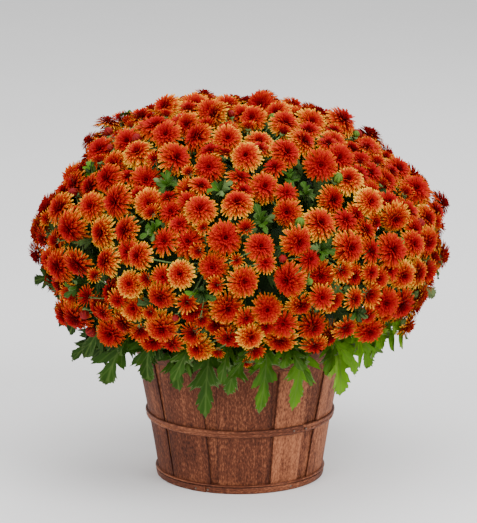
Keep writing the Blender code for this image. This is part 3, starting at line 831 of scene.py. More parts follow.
    def relax(self, directions: Array, radii: Array, fixed: int) -> Array:
        """Push crowded discs apart along the dome.

        Args:
            directions: Where the discs are.
            radii: Their radii.
            fixed: How many at the start stay in place.

        Returns:
            The new directions.
        """
        wanted = radii[:, None] + radii[None] + self.gap
        for _ in range(self.relax_rounds):
            points = self.on_dome(directions)
            apart = points[:, None] - points[None]
            space = np.linalg.norm(apart, axis=2)
            np.fill_diagonal(space, 1.0)
            push = np.maximum(wanted - space, 0)
            move = (apart / space[..., None] * push[..., None]).sum(axis=1) * self.relax_step
            move[:fixed] = 0
            directions = self.settle(directions + self.squashed(move, directions[:, 2]))
        return directions

    def group_sprays(self) -> None:
        """Group the blooms in sprays of near neighbours, and set each hub."""
        centres = self.on_dome(self.spiral(self.sprays))
        for _ in range(self.group_rounds):
            apart = np.linalg.norm(self.points[:, None] - centres[None], axis=2)
            self.owner = apart.argmin(axis=1)
            centres = np.array([self.points[self.owner == n].mean(axis=0) for n in range(self.sprays)])
        directions = self.to_directions(centres)
        self.hub_normals = self.normals(directions)
        self.hubs = self.on_dome(directions) - self.hub_normals * self.hub_depth

    def turn_blooms(self) -> None:
        """Face each bloom outwards, and a little upwards low on the dome."""
        away = unit(self.points - self.hubs[self.owner])
        axes = (1 - self.away_share) * self.facing + self.away_share * away + self.lean
        axes[:, 2] += self.low_lift * np.maximum(0.0, self.low_facing - self.facing[:, 2])
        self.axes = unit(axes)

    def gaps(self, count: int, apart: float) -> tuple[Array, Array, Array]:
        """Find the roomiest places between blooms.

        Args:
            count: How many places.
            apart: Least distance between them.

        Returns:
            Points, outward normals and the free radius of each.
        """
        directions = self.spiral(self.gap_tries)
        points = self.on_dome(directions)
        reach = np.linalg.norm(points[:, None] - self.points[None], axis=2)
        room = (reach - self.radii[None]).min(axis=1)
        leaves = np.linalg.norm(points[:, None] - self.leaf_points[None], axis=2)
        room[leaves.min(axis=1) < self.leaf_room] = -1.0
        chosen: list[int] = []
        for number in np.argsort(-room):
            near = np.linalg.norm(points[chosen] - points[number], axis=1)
            if near.size and near.min() < apart:
                continue
            chosen.append(int(number))
            if len(chosen) == count:
                break
        return points[chosen], self.normals(directions)[chosen], room[chosen]


# Flowers


@dataclass(frozen=True)
class Whorl:
    """One ring of petals: angles in degrees, sizes as shares of the flower's radius."""

    petals: int
    length: float
    rise: float
    curl: float
    root: float
    lift: float
    folded: bool = True


class Stage(Enum):
    """How far a flower has opened, as its whorls from the outside in."""

    OPEN = (
        Whorl(34, 0.95, 4, -34, 0.10, -0.02),
        Whorl(32, 0.88, 16, -20, 0.09, 0.03),
        Whorl(28, 0.78, 28, -4, 0.08, 0.08),
        Whorl(23, 0.66, 40, 14, 0.07, 0.13),
        Whorl(18, 0.54, 53, 34, 0.06, 0.17, False),
        Whorl(13, 0.42, 65, 64, 0.05, 0.20, False),
        Whorl(9, 0.33, 74, 112, 0.05, 0.21, False),
        Whorl(5, 0.24, 80, 145, 0.03, 0.22, False),
    )
    SMALL = (
        Whorl(23, 0.92, 12, -26, 0.10, 0.00),
        Whorl(20, 0.80, 28, -6, 0.08, 0.05),
        Whorl(16, 0.62, 46, 18, 0.06, 0.10),
        Whorl(11, 0.44, 64, 46, 0.04, 0.14, False),
        Whorl(7, 0.33, 80, 96, 0.02, 0.17, False),
    )
    HALF_OPEN = (
        Whorl(16, 1.05, 44, 20, 0.16, 0.00),
        Whorl(15, 1.00, 56, 34, 0.12, 0.04),
        Whorl(12, 0.90, 68, 52, 0.08, 0.06),
        Whorl(8, 0.80, 78, 86, 0.05, 0.08, False),
        Whorl(5, 0.62, 84, 108, 0.03, 0.10, False),
    )


@dataclass(frozen=True)
class Uneven:
    """Standard deviations from petal to petal; turn and roll in radians, other angles in degrees."""

    opening: float = 5.0
    turn: float = 0.07
    length: float = 0.055
    rise: float = 4.5
    curl: float = 7.0
    roll: float = 0.16
    width: float = 0.08
    tone: float = 0.07


@dataclass(frozen=True)
class Foot:
    """Cup and stalk under a flower, as shares of its radius; gap and stalk are in metres."""

    base: float
    cup_drop: float
    cup: float
    stalk_drop: float
    stalk: float
    age: float
    gap: float = 0.0


@dataclass
class Spray:
    """Petals, stalks and closed buds that share one hub; sizes are shares of a flower's radius."""

    hub: Array
    petals: MeshStack = field(default_factory=MeshStack)
    stalks: MeshStack = field(default_factory=MeshStack)
    closed: MeshStack = field(default_factory=MeshStack)
    uneven: Uneven = Uneven()
    open_depth: float = 0.16
    half_open_depth: float = 0.45
    petal_width: float = 0.094
    breadth_least: float = 0.82
    breadth_gain: float = 0.36
    slender: float = 0.62
    petal_rows: int = 4
    row_crowding: float = 1.3
    petal_cup: float = 0.55
    cup_fade: float = 0.4
    streak_length: float = 0.25
    streak_shift: float = 3.0
    petal_outline: Rows = ((0.0, 0.36), (0.3, 0.66), (0.6, 0.96), (0.8, 1.0), (0.92, 0.84), (1.0, 0.48))
    bud_grid: tuple[int, int] = (9, 28)
    bud_tilts: Span = (0.08, math.pi - 0.05)
    bud_ribs: int = 7
    bud_twist: float = 3.0
    rib_height: float = 0.18
    bud_crown: float = 1.12
    bud_base: float = 0.9
    cup_profile: Rows = ((-1.0, 0.25), (-0.75, 0.66), (-0.35, 0.94), (0.0, 0.9))
    cup_sides: int = 8
    cup_green: float = 0.92
    stalk_rings: int = 6
    stalk_sides: int = 5
    stalk_bow: float = 0.06

    def add_flower(
        self, centre: Array, axis: Array, radius: float, tone: float, stage: Stage, rng: Rng
    ) -> None:
        """Add a flower, bent petal by petal.

        Args:
            centre: Middle of its rim plane.
            axis: Way that it faces.
            radius: Reach of its longest petals.
            tone: From 0, crimson, to 1, golden.
            stage: How far it has opened.
            rng: Source of its unevenness.
        """
        side, other = square_to(axis)
        uneven, width = self.uneven, self.petal_width
        depth = self.half_open_depth if stage is Stage.HALF_OPEN else self.open_depth
        foot = centre - axis * radius * depth
        twist = rng.uniform(0, ROUND)
        opening = rng.normal(0, uneven.opening)
        rows = self.petal_rows
        along = 1 - np.linspace(1, 0, rows) ** self.row_crowding
        shape = np.interp(along, *np.array(self.petal_outline).T)
        for number, whorl in enumerate(stage.value):
            count = whorl.petals
            turn = (np.arange(count) + 0.5 * (number % 2)) / count * ROUND
            turn = turn + twist + rng.normal(0, uneven.turn, count)
            length = radius * whorl.length * (1 + rng.normal(0, uneven.length, count))
            start = np.radians(whorl.rise + opening + rng.normal(0, uneven.rise, count))
            end = np.radians(whorl.curl + opening + rng.normal(0, uneven.curl, count))
            angle = start[:, None] + (end - start)[:, None] * along
            step = length[:, None] * np.diff(along)
            middle = (angle[:, 1:] + angle[:, :-1]) / 2
            zero = np.zeros((count, 1))
            out = np.hstack((zero, np.cumsum(np.cos(middle) * step, axis=1))) + whorl.root * radius
            up = np.hstack((zero, np.cumsum(np.sin(middle) * step, axis=1))) + whorl.lift * radius
            radial = side * np.cos(turn)[:, None] + other * np.sin(turn)[:, None]
            roll = rng.normal(0, uneven.roll, count)[:, None]
            flat = np.cross(axis, radial) * np.cos(roll) + axis * np.sin(roll)
            half = radius * width * (self.breadth_least + self.breadth_gain * whorl.length) * self.slender
            half = half * (1 + rng.normal(0, uneven.width, count))
            spine = foot + radial[:, None] * out[..., None] + axis * up[..., None]
            normal = axis * np.cos(angle)[..., None] - radial[:, None] * np.sin(angle)[..., None]
            reach = (half[:, None] * shape)[..., None]
            lifted = normal * (reach * self.petal_cup * (1.0 - self.cup_fade * along[:, None]))
            left = spine - flat[:, None] * reach + lifted
            right = spine + flat[:, None] * reach + lifted
            lines = (left, spine, right) if whorl.folded else (left, right)
            cols = len(lines)
            grid = np.repeat(along, cols)
            edges = np.tile(np.linspace(-1.0, 1.0, cols), rows)
            own = rng.uniform(0, 1, (count, 1))
            lie = (edges * radius * width, grid * radius * self.streak_length, own * self.streak_shift)
            self.petals.add(
                np.stack(lines, axis=2).reshape(count, rows * cols, 3),
                grid_faces(rows, cols),
                along=grid,
                across=edges,
                whorl=number / (len(stage.value) - 1),
                tone=np.clip(tone + rng.normal(0, uneven.tone, (count, 1)), 0, 1),
                lie=np.stack(np.broadcast_arrays(*lie), -1),
            )

    def add_bud(self, centre: Array, axis: Array, size: float, tone: float, rng: Rng) -> None:
        """Add a closed bud, ribbed by its wrapped petals.

        Args:
            centre: Its middle.
            axis: Way that it faces.
            size: Its radius.
            tone: From 0, green, to 1, ripe.
            rng: Source of unevenness.
        """
        rows, cols = self.bud_grid
        tilt = np.linspace(*self.bud_tilts, rows)[:, None]
        turn = np.linspace(0, ROUND, cols, endpoint=False)[None]
        start = rng.uniform(*WAVE_STARTS)
        wave = np.cos(self.bud_ribs * turn + tilt * self.bud_twist + start) * np.sin(tilt)
        wide = size * np.sin(tilt) * (1 + self.rib_height * wave)
        long = np.where(np.cos(tilt) < 0, self.bud_crown, self.bud_base)
        high = -size * np.cos(tilt) * long * np.ones_like(turn)
        side, other = square_to(axis)
        points = centre + side * (wide * np.cos(turn))[..., None]
        points = points + other * (wide * np.sin(turn))[..., None] + axis * high[..., None]
        along = np.repeat(np.linspace(0, 1, rows), cols)
        faces = grid_faces(rows, cols, wrap=True)
        self.closed.add(points.reshape(-1, 3), faces, along=along, across=wave.ravel(), tone=tone)

    def add_cup(self, base: Array, axis: Array, radius: float) -> None:
        """Add the small cup of scales under a flower.

        Args:
            base: Middle of the cup.
            axis: Way that the flower faces.
            radius: Radius of its brim.
        """
        height, wide = np.array(self.cup_profile).T
        path = base + axis * (height[:, None] * radius)
        green = np.full(len(path), self.cup_green)
        self.stalks.tube(path, wide * radius, self.cup_sides, green)

    def add_stalk(self, end: Array, radius: float, age: float, start: Array | None = None) -> None:
        """Add a slightly bowed stalk.

        Args:
            end: Its head.
            radius: Its radius.
            age: Value along it at the foot; higher is greener.
            start: Its foot, if not the hub.
        """
        start = self.hub if start is None else start
        part = np.linspace(0, 1, self.stalk_rings)
        bow = np.sin(part * math.pi) * np.linalg.norm(end - start) * self.stalk_bow
        path = start + (end - start) * part[:, None] - np.outer(bow, [0, 0, 1.0])
        self.stalks.tube(path, np.full(len(path), radius), self.stalk_sides, age + (1 - age) * part)

    def add_foot(self, centre: Array, axis: Array, radius: float, foot: Foot) -> None:
        """Add a flower's cup of scales and its stalk.

        Args:
            centre: The flower's middle.
            axis: Way that it faces.
            radius: Its radius.
            foot: Where the cup and the stalk are, and their sizes.
        """
        base = centre - axis * radius * foot.base
        self.add_cup(base - axis * radius * foot.cup_drop, axis, radius * foot.cup)
        self.add_stalk(base - axis * radius * foot.stalk_drop - axis * foot.gap, foot.stalk, foot.age)


@dataclass(frozen=True)
class Filler:
    """One kind of flower between the blooms: how far it outgrows its gap, and how deep it sits."""

    stage: Stage
    grow: float
    sunk: float
    foot: Foot


@dataclass(frozen=True)
class Young:
    """One young flower that hangs over the rim; without a stage it is a bud."""

    spot: tuple[float, float, float]
    size: float
    tone: float
    stage: Stage | None
    foot: Foot
    seed: int


@dataclass
class Flowers:
    """All blooms, half-open flowers and buds, on their stalks."""

    plan: DomePlan
    petal: Material
    stalk: Material
    bud: Material
    typical: float = 0.0223
    trim: float = 0.93
    size_spread: Span = (0.90, 1.09)
    flattened: tuple[float, float, float] = (1.0, 1.0, 0.72)
    tilt: float = 0.22
    lean_least: float = 0.10
    lean_forward: float = 0.55
    lean_from: float = 0.3
    lean_depth: float = 0.10
    spray_proud: Span = (-0.005, 0.004)
    bloom_proud: Span = (-0.008, 0.009)
    extra_proud: float = 0.010
    extra_share: float = 0.12
    extra_front: float = -0.05
    open_tone: tuple[float, float] = (0.43, 0.29)
    open_foot: Foot = Foot(0.12, 0.10, 0.30, 0.16, 0.0012, 0.6)
    small_count: int = 215
    small_apart: float = 0.0205
    small_radii: Span = (0.0100, 0.0195)
    small_lift: tuple[float, float, float] = (0.0, 0.0, 0.15)
    small_tone: tuple[float, float] = (0.28, 0.20)
    small: Filler = Filler(Stage.SMALL, 0.0122, 0.008, Foot(0.24, 0.0, 0.34, 0.0, 0.0010, 0.7, 0.002))
    half_open: Filler = Filler(
        Stage.HALF_OPEN, 0.0065, 0.004, Foot(0.45, 0.0, 0.34, 0.0, 0.0010, 0.7, 0.002)
    )
    half_open_share: float = 0.42
    bud_count: int = 50
    bud_sizes: Span = (0.0040, 0.0072)
    bud_tilt: float = 0.25
    bud_lift: tuple[float, float, float] = (0.0, 0.0, 0.2)
    bud_proud: Span = (-0.014, -0.002)
    bud_foot: Foot = Foot(0.0, 0.85, 0.8, 1.0, 0.0009, 0.75)
    ripe_share: float = 0.7
    ripe: float = 1.0
    unripe: float = 0.1
    stem_radius: float = 0.0024
    young: tuple[Young, ...] = (
        Young(
            (0.008, -0.190, 0.197), 0.0074, 0.4, Stage.HALF_OPEN,
            Foot(0.5, 0.0, 0.4, 0.0, 0.0009, 0.75), 740,
        ),
        Young((-0.069, -0.176, 0.198), 0.0048, 0.1, None, Foot(0.9, 0.0, 0.8, 0.0, 0.0009, 0.75), 479),
    )
    young_facing: tuple[float, float, float] = (0.6, -0.16, -0.06)
    seed: int = 7

    def build(self) -> None:
        """Make each spray's petals, stalks and buds."""
        self.rng = np.random.default_rng(self.seed)
        plan = self.plan
        self.spots = plan.gaps(self.small_count + self.bud_count, self.small_apart)
        reach = np.linalg.norm(self.spots[0][:, None] - plan.hubs[None], axis=2)
        owners = reach.argmin(axis=1)
        self.proud = self.rng.uniform(*self.spray_proud, plan.sprays)
        for number, hub in enumerate(plan.hubs):
            spray = Spray(hub)
            root = hub - plan.hub_normals[number] * plan.hub_depth
            spray.add_stalk(hub, self.stem_radius, 0.0, root)
            for bloom in np.flatnonzero(plan.owner == number):
                self.add_open(spray, bloom)
            own = np.flatnonzero(owners == number)
            for spot in own[own < self.small_count]:
                self.add_small(spray, spot)
            for spot in own[own >= self.small_count]:
                self.add_closed(spray, spot)
            self.add_young(spray)
            node = f"spray_{number + 1:02d}"
            spray.petals.show(f"{node}_petals", self.petal, "petals", node)
            spray.stalks.show(f"{node}_stalks", self.stalk, "leaves", node)
            if spray.closed.count:
                spray.closed.show(f"{node}_buds", self.bud, "petals", node)

    def add_open(self, spray: Spray, number: int) -> None:
        """Add one open bloom, its cup of scales and its stalk.

        Args:
            spray: The spray that it belongs to.
            number: The bloom's number in the plan.
        """
        rng, plan = self.rng, self.plan
        point, facing = plan.points[number], plan.axes[number]
        axis = facing * self.flattened + rng.normal(0, self.tilt, 3)
        lean = self.lean_least + self.lean_forward * max(0.0, facing[2] - self.lean_from)
        axis[1] -= lean * share(1.0 - point[1] / self.lean_depth)
        axis = unit(axis)
        proud = self.proud[plan.owner[number]] + rng.uniform(*self.bloom_proud)
        proud += self.extra_proud * (rng.random() < self.extra_share) * (point[1] < self.extra_front)
        centre = point + axis * proud
        radius = math.sqrt(float(plan.radii[number]) * self.typical) * self.trim
        radius *= rng.uniform(*self.size_spread)
        spray.add_flower(centre, axis, radius, share(rng.normal(*self.open_tone)), Stage.OPEN, rng)
        spray.add_foot(centre, axis, radius, self.open_foot)

    def add_small(self, spray: Spray, number: int) -> None:
        """Add one small or half-open flower between the blooms.

        Args:
            spray: The spray that it belongs to.
            number: The number of its gap.
        """
        rng = self.rng
        spot, way, room = (found[number] for found in self.spots)
        kind = self.half_open if rng.random() < self.half_open_share else self.small
        centre = spot - way * kind.sunk
        radius = float(np.clip(room + kind.grow, *self.small_radii))
        axis = unit(way + rng.normal(0, self.tilt, 3) + self.small_lift)
        spray.add_flower(centre, axis, radius, share(rng.normal(*self.small_tone)), kind.stage, rng)
        spray.add_foot(centre, axis, radius, kind.foot)

    def add_closed(self, spray: Spray, number: int) -> None:
        """Add one bud between the blooms.

        Args:
            spray: The spray that it belongs to.
            number: The number of its gap.
        """
        rng = self.rng
        spot, way, _ = (found[number] for found in self.spots)
        axis = unit(way + rng.normal(0, self.bud_tilt, 3) + self.bud_lift)
        size = rng.uniform(*self.bud_sizes)
        centre = spot + way * rng.uniform(*self.bud_proud)
        tone = self.ripe if rng.random() < self.ripe_share else self.unripe
        spray.add_bud(centre, axis, size, tone, rng)
        spray.add_foot(centre, axis, size, self.bud_foot)

    def add_young(self, spray: Spray) -> None:
        """Add a spray's share of the young flowers that hang over the rim.

        Args:
            spray: The spray.
        """
        for young in self.young:
            centre = np.array(young.spot)
            nearest = np.linalg.norm(self.plan.hubs - centre, axis=1).argmin()
            if not np.array_equal(self.plan.hubs[nearest], spray.hub):
                continue
            rng = np.random.default_rng(young.seed)
            sideways, forward, down = self.young_facing
            axis = unit(np.array((centre[0] * sideways, forward, down)))
            if young.stage:
                spray.add_flower(centre, axis, young.size, young.tone, young.stage, rng)
            else:
                spray.add_bud(centre, axis, young.size, young.tone, rng)
            spray.add_foot(centre, axis, young.size, young.foot)


# Leaves


@dataclass(frozen=True)
class LeafCut:
    """How finely a leaf's blade is cut and meshed."""

    rows: int
    cols: int
    teeth: float


class LeafDetail(Enum):
    """Leaves by how closely they are seen."""

    SKIRT = LeafCut(46, 7, 0.09)
    UPRIGHT = LeafCut(26, 5, 0.04)
    INNER = LeafCut(16, 3, 0.0)


@dataclass
class LeafMaker:
    """Lobed leaves in one stack a stem; their upper and lower faces meet at the edge."""

    plan: DomePlan
    stems: int = 6
    thick: float = 0.0007
    sweep: float = 0.62
    sweep_gain: float = 0.8
    fold: float = 0.42
    lopsided: tuple[float, float] = (0.9, 1.1)
    wave: float = 0.05
    wave_turn: float = 11.0
    tooth_count: int = 17
    tooth_size: float = 1.6
    stalk_end: float = 0.18
    stalk_ease: float = 0.1
    outline: Rows = (
        (0.00, 0.025), (0.12, 0.025), (0.15, 0.09), (0.20, 0.27), (0.235, 0.22), (0.27, 0.08),
        (0.32, 0.24), (0.37, 0.48), (0.40, 0.37), (0.42, 0.42), (0.47, 0.11), (0.52, 0.22),
        (0.57, 0.38), (0.60, 0.27), (0.62, 0.31), (0.68, 0.09), (0.74, 0.14), (0.79, 0.20),
        (0.82, 0.13), (0.85, 0.155), (0.92, 0.095), (0.97, 0.045), (1.00, 0.004),
    )
    outline_points: int = 401
    easing: int = 13
    tip_power: int = 26
    light_turn: float = 15.0
    sun_gain: float = 0.26
    sun_power: int = 6
    tone_spread: float = 0.10
    front_half: float = 80.0
    front_turn: float = 0.4
    seed: int = 11

    def __post_init__(self) -> None:
        """Start the random draws and each stem's stack."""
        self.rng = np.random.default_rng(self.seed)
        self.stacks = [MeshStack() for _ in range(self.stems)]

    def sector(self, azimuth: float) -> int:
        """Number of the stem whose part of the bush holds an azimuth."""
        return int(round(azimuth % 360.0 / (360.0 / self.stems))) % self.stems

    def sunlit(self, azimuth: float) -> float:
        """How far a side of the plant is turned to the light, from -1 to 1."""
        return math.sin(math.radians(azimuth + self.light_turn))

    def outer_tone(self, azimuth: float, base: float, gain: float) -> float:
        """Tone of a leaf under the dome, palest where the light comes from.

        Args:
            azimuth: Where it stands.
            base: Its tone where the light grazes the plant.
            gain: How much paler it is where the light falls straight.

        Returns:
            The tone.
        """
        facing = self.sunlit(azimuth)
        sunny = self.sun_gain * max(0.0, facing) ** self.sun_power
        return base + gain * facing + sunny + self.rng.normal(0, self.tone_spread)

    def blade_azimuth(self, azimuth: float) -> float:
        """Azimuth that a drooping leaf's blade faces; those in front turn forward."""
        turn = half_turn(azimuth)
        return turn * self.front_turn if abs(turn) < self.front_half else turn

    def half_widths(self, along: Array) -> Array:
        """Half widths of a leaf as shares of its width, with the outline's corners eased.

        Args:
            along: Places along it, from 0 to 1.

        Returns:
            One half width for each.
        """
        fine = np.linspace(0, 1, self.outline_points)
        edge = np.interp(fine, *np.array(self.outline).T)
        edge = np.pad(edge, self.easing // 2, mode="edge")
        edge = np.convolve(edge, np.full(self.easing, 1 / self.easing), "valid")
        return np.interp(along, fine, edge) * (1 - along**self.tip_power)

    def add(
        self, azimuth: float, curve: tuple[Array, Array, Array], across: Array,
        width: float, tone: float, detail: LeafDetail, rng: Rng | None = None,
    ) -> None:
        """Add one leaf along a curve, to the stem that holds its azimuth.

        Args:
            azimuth: Where it stands.
            curve: Foot of its stalk, the point that it leans towards, and its tip.
            across: Direction of its width.
            width: Its full width.
            tone: From 0, dark, to 1, bright; held between them.
            detail: How finely it is made.
            rng: Source of unevenness, if not the bush's own.
        """
        rng, cut = rng or self.rng, detail.value
        root, bend, tip = curve
        along = np.linspace(0, 1, cut.rows)
        part = along[:, None]
        ahead = unit((bend - root) * (1 - part) + (tip - bend) * part)
        across = unit(across)
        normal = unit(np.cross(ahead, across))
        half = self.half_widths(along)
        teeth = cut.teeth * np.sin(along * ROUND * self.tooth_count + rng.uniform(*WAVE_STARTS))
        blade = np.clip((along - self.stalk_end) / self.stalk_ease, 0, 1)
        half = (half + teeth * blade * half * self.tooth_size) * width
        lean = rng.uniform(*self.lopsided, 2)
        spread = np.linspace(-1, 1, cut.cols)
        reach = half[:, None] * np.abs(spread) * np.where(spread < 0, *lean)
        forward = reach * self.sweep * (1 + self.sweep_gain * part)
        wave = np.sin(along * self.wave_turn + rng.uniform(*WAVE_STARTS))[:, None]
        lift = reach * self.fold + self.wave * width * wave * np.abs(spread) * spread
        points = bent(root, bend, tip, part)[:, None] + across * (reach * np.sign(spread))[..., None]
        points = points + ahead[:, None] * forward[..., None] + normal[:, None] * lift[..., None]
        inside = normal[:, None] * ((1 - np.abs(spread)) * self.thick)[:, None] / 2
        grid = np.repeat(along, cut.cols)
        edges = np.tile(spread, cut.rows) * np.repeat(half / width * 2, cut.cols)
        own = np.full_like(grid, rng.uniform(*TEXTURE_SHIFTS))
        lie = np.stack((edges * width, grid * np.linalg.norm(tip - root), own), -1)
        faces = grid_faces(cut.rows, cut.cols)
        values = {"along": grid, "across": edges, "tone": share(tone), "lie": lie}
        stack = self.stacks[self.sector(azimuth)]
        stack.add((points + inside).reshape(-1, 3), faces, under=0.0, **values)
        stack.add((points - inside).reshape(-1, 3), faces[:, ::-1], under=1.0, **values)


@dataclass(frozen=True)
class SkirtRow:
    """One row of leaves over the rim; pairs are the least and the most."""

    azimuths: Span
    count: int
    shift: float
    lengths: Span
    widths: Span
    top: float
    drops: Span
    rise: float = 0.0
    seed: int | None = None


@dataclass
class Skirt:
    """Leaves that grow out over the rim and hang down outside it."""

    front: Rows = (
        (-60.0, 0.110, 0.080, 0.140), (-45.0, 0.078, 0.052, 0.156), (-29.0, 0.076, 0.048, 0.148),
        (-14.0, 0.104, 0.060, 0.115), (13.0, 0.088, 0.052, 0.119), (29.5, 0.088, 0.052, 0.121),
        (48.0, 0.100, 0.068, 0.136), (68.0, 0.080, 0.052, 0.158), (-76.0, 0.098, 0.066, 0.160),
        (-1.0, 0.082, 0.052, 0.150),
    )
    rows: tuple[SkirtRow, ...] = (
        SkirtRow((86.0, 276.0), 15, 3.0, (0.070, 0.098), (0.048, 0.064), 0.212, (0.70, 0.92), seed=46),
        SkirtRow((0.0, 360.0), 34, 4.0, (0.052, 0.084), (0.036, 0.052), 0.226, (0.35, 0.85), 0.012),
    )
    rim: float = 0.2125
    rim_radius: float = 0.138
    least_reach: float = 0.02
    bend_radius: float = 0.170
    bend_share: float = 0.12
    bend_height: float = 0.208
    tip_radius: float = 0.146
    tip_share: float = 0.55
    swing: float = 5.0
    tilt: float = 0.3
    tone: tuple[float, float] = (0.42, 0.32)

    def grow(self, leaves: LeafMaker) -> None:
        """Add the front leaves one by one, then the rows.

        Args:
            leaves: The bush.
        """
        for row in self.front:
            self.add_leaf(leaves, *row)
        for row in self.rows:
            rng = np.random.default_rng(row.seed) if row.seed else leaves.rng
            for azimuth in np.linspace(*row.azimuths, row.count, endpoint=row.azimuths[1] < 360.0):
                turn = azimuth + either_way(rng, row.shift)
                length, width = rng.uniform(*row.lengths), rng.uniform(*row.widths)
                tip_height = row.top - length * rng.uniform(*row.drops)
                self.add_leaf(leaves, turn, length, width, tip_height, row.rise)

    def add_leaf(
        self, leaves: LeafMaker, azimuth: float, length: float, width: float,
        tip_height: float, rise: float = 0.0,
    ) -> None:
        """Add one leaf.

        Args:
            leaves: The bush.
            azimuth: Where it stands.
            length: Its length.
            width: Its width.
            tip_height: Height of its tip.
            rise: How much higher than the first row it starts.
        """
        rng = leaves.rng
        reach = math.sqrt(max(length**2 - (self.rim - tip_height) ** 2, self.least_reach**2))
        root = place(azimuth, self.rim_radius, self.rim + rise)
        bend = place(azimuth, self.bend_radius + self.bend_share * reach + rise, self.bend_height + rise)
        swing = azimuth + either_way(rng, self.swing)
        tip = place(swing, self.tip_radius + self.tip_share * reach + rise, tip_height)
        across = place(leaves.blade_azimuth(azimuth) + 90.0, 1.0, either_way(rng, self.tilt))
        tone = leaves.outer_tone(azimuth, *self.tone)
        leaves.add(azimuth, (root, bend, tip), across, width, tone, LeafDetail.SKIRT)


@dataclass
class Eaves:
    """Leaves that droop from under the lowest blooms, in front lower and nearer."""

    count: int = 54
    shift: float = 5.0
    heights: Span = (0.205, 0.265)
    front_half: float = 55.0
    front_lower: float = 0.8
    front_nearer: float = 0.010
    root_radius: float = 0.165
    root_rise: float = 0.012
    bend_radius: float = 0.190
    bend_rise: float = 0.010
    flare: float = 0.75
    reach_spread: float = 0.010
    swing: float = 12.0
    tip_out: float = 0.013
    droop: Span = (0.024, 0.050)
    blade_turn: float = 50.0
    side_tilt: float = 1.6
    tilt: float = 0.6
    tone: tuple[float, float] = (0.38, 0.36)
    widths: Span = (0.040, 0.054)

    def grow(self, leaves: LeafMaker) -> None:
        """Add the leaves, all the way round.

        Args:
            leaves: The bush.
        """
        rng, low = leaves.rng, self.heights[0]
        for azimuth in np.linspace(0, 360, self.count, endpoint=False):
            turn = azimuth + either_way(rng, self.shift)
            over = rng.uniform(*self.heights) - low
            front = math.exp(-((half_turn(turn) / self.front_half) ** 4))
            over = over - front * over * self.front_lower
            height = low + over
            root = place(turn, self.root_radius, height + self.root_rise)
            reach = self.bend_radius + over * self.flare + either_way(rng, self.reach_spread)
            reach -= front * self.front_nearer
            swing = turn + either_way(rng, self.swing)
            tip = place(swing, reach + self.tip_out, height - rng.uniform(*self.droop))
            bend = place(turn, reach, height + self.bend_rise)
            blade = leaves.blade_azimuth(turn) + either_way(rng, self.blade_turn)
            side = math.sin(math.radians(turn))
            tilt = side * abs(side) * self.side_tilt + either_way(rng, self.tilt)
            across = place(blade + 90.0, 1.0, tilt)
            tone = leaves.outer_tone(turn, *self.tone)
            width = rng.uniform(*self.widths)
            leaves.add(turn, (root, bend, tip), across, width, tone, LeafDetail.UPRIGHT)


@dataclass
class Uprights:
    """Leaves that stand up between blooms, a few at each site."""

    each: int = 4
    apart: float = 1.7
    shift: float = 0.3
    outward: float = 0.8
    tilt: float = 0.25
    tip_rises: Span = (-0.002, 0.009)
    leans: Span = (0.009, 0.024)
    top_sink: float = 0.030
    top_from: float = 0.6
    depths: Span = (0.028, 0.045)
    bend_rises: Span = (0.000, 0.007)
    bend_lean: float = 0.004
    tone: tuple[float, float] = (0.30, 0.17)
    widths: Span = (0.018, 0.028)

    def grow(self, leaves: LeafMaker) -> None:
        """Add the leaves of every site.

        Args:
            leaves: The bush.
        """
        rng, plan = leaves.rng, leaves.plan
        for point, normal in zip(plan.leaf_points, plan.leaf_normals):
            side, other = square_to(normal)
            first = rng.uniform(0, ROUND)
            for leaf in range(self.each):
                turn = first + leaf * self.apart + either_way(rng, self.shift)
                lean = side * math.cos(turn) + other * math.sin(turn)
                upward = 1.0 if rng.random() < self.outward else -1.0
                across = np.cross(normal, lean) * upward + normal * rng.normal(0, self.tilt)
                tip = point + normal * rng.uniform(*self.tip_rises) + lean * rng.uniform(*self.leans)
                tip = tip - normal * self.top_sink * max(0.0, normal[2] - self.top_from)
                root = point - normal * rng.uniform(*self.depths)
                bend = point + normal * rng.uniform(*self.bend_rises) - lean * self.bend_lean
                tone, width = rng.normal(*self.tone), rng.uniform(*self.widths)
                curve = (root, bend, tip)
                leaves.add(azimuth_of(point), curve, across, width, tone, LeafDetail.UPRIGHT)


@dataclass
class Filling:
    """Leaves that fill the space under the blooms, darkened as painted shade."""

    count: int = 640
    depths: Span = (0.012, 0.034)
    leans: Span = (0.008, 0.026)
    lengths: Span = (0.036, 0.052)
    bend_rise: float = 0.040
    # Low tones paint the inner leaves dark: painted shade of the bush's depths.
    tone: tuple[float, float] = (0.13, 0.12)
    widths: Span = (0.028, 0.043)

    def grow(self, leaves: LeafMaker) -> None:
        """Add the leaves, evenly under the dome.

        Args:
            leaves: The bush.
        """
        rng, plan = leaves.rng, leaves.plan
        directions = plan.spiral(self.count)
        for point, normal in zip(plan.on_dome(directions), plan.normals(directions)):
            side, other = square_to(normal)
            turn = rng.uniform(0, ROUND)
            across = side * math.cos(turn) + other * math.sin(turn)
            lean = np.cross(normal, across)
            depth = rng.uniform(*self.depths)
            tip = point - normal * depth + lean * rng.uniform(*self.leans)
            root = point - normal * (depth + rng.uniform(*self.lengths))
            curve = (root, root + normal * self.bend_rise, tip)
            tone, width = rng.normal(*self.tone), rng.uniform(*self.widths)
            leaves.add(azimuth_of(point), curve, across, width, tone, LeafDetail.INNER)


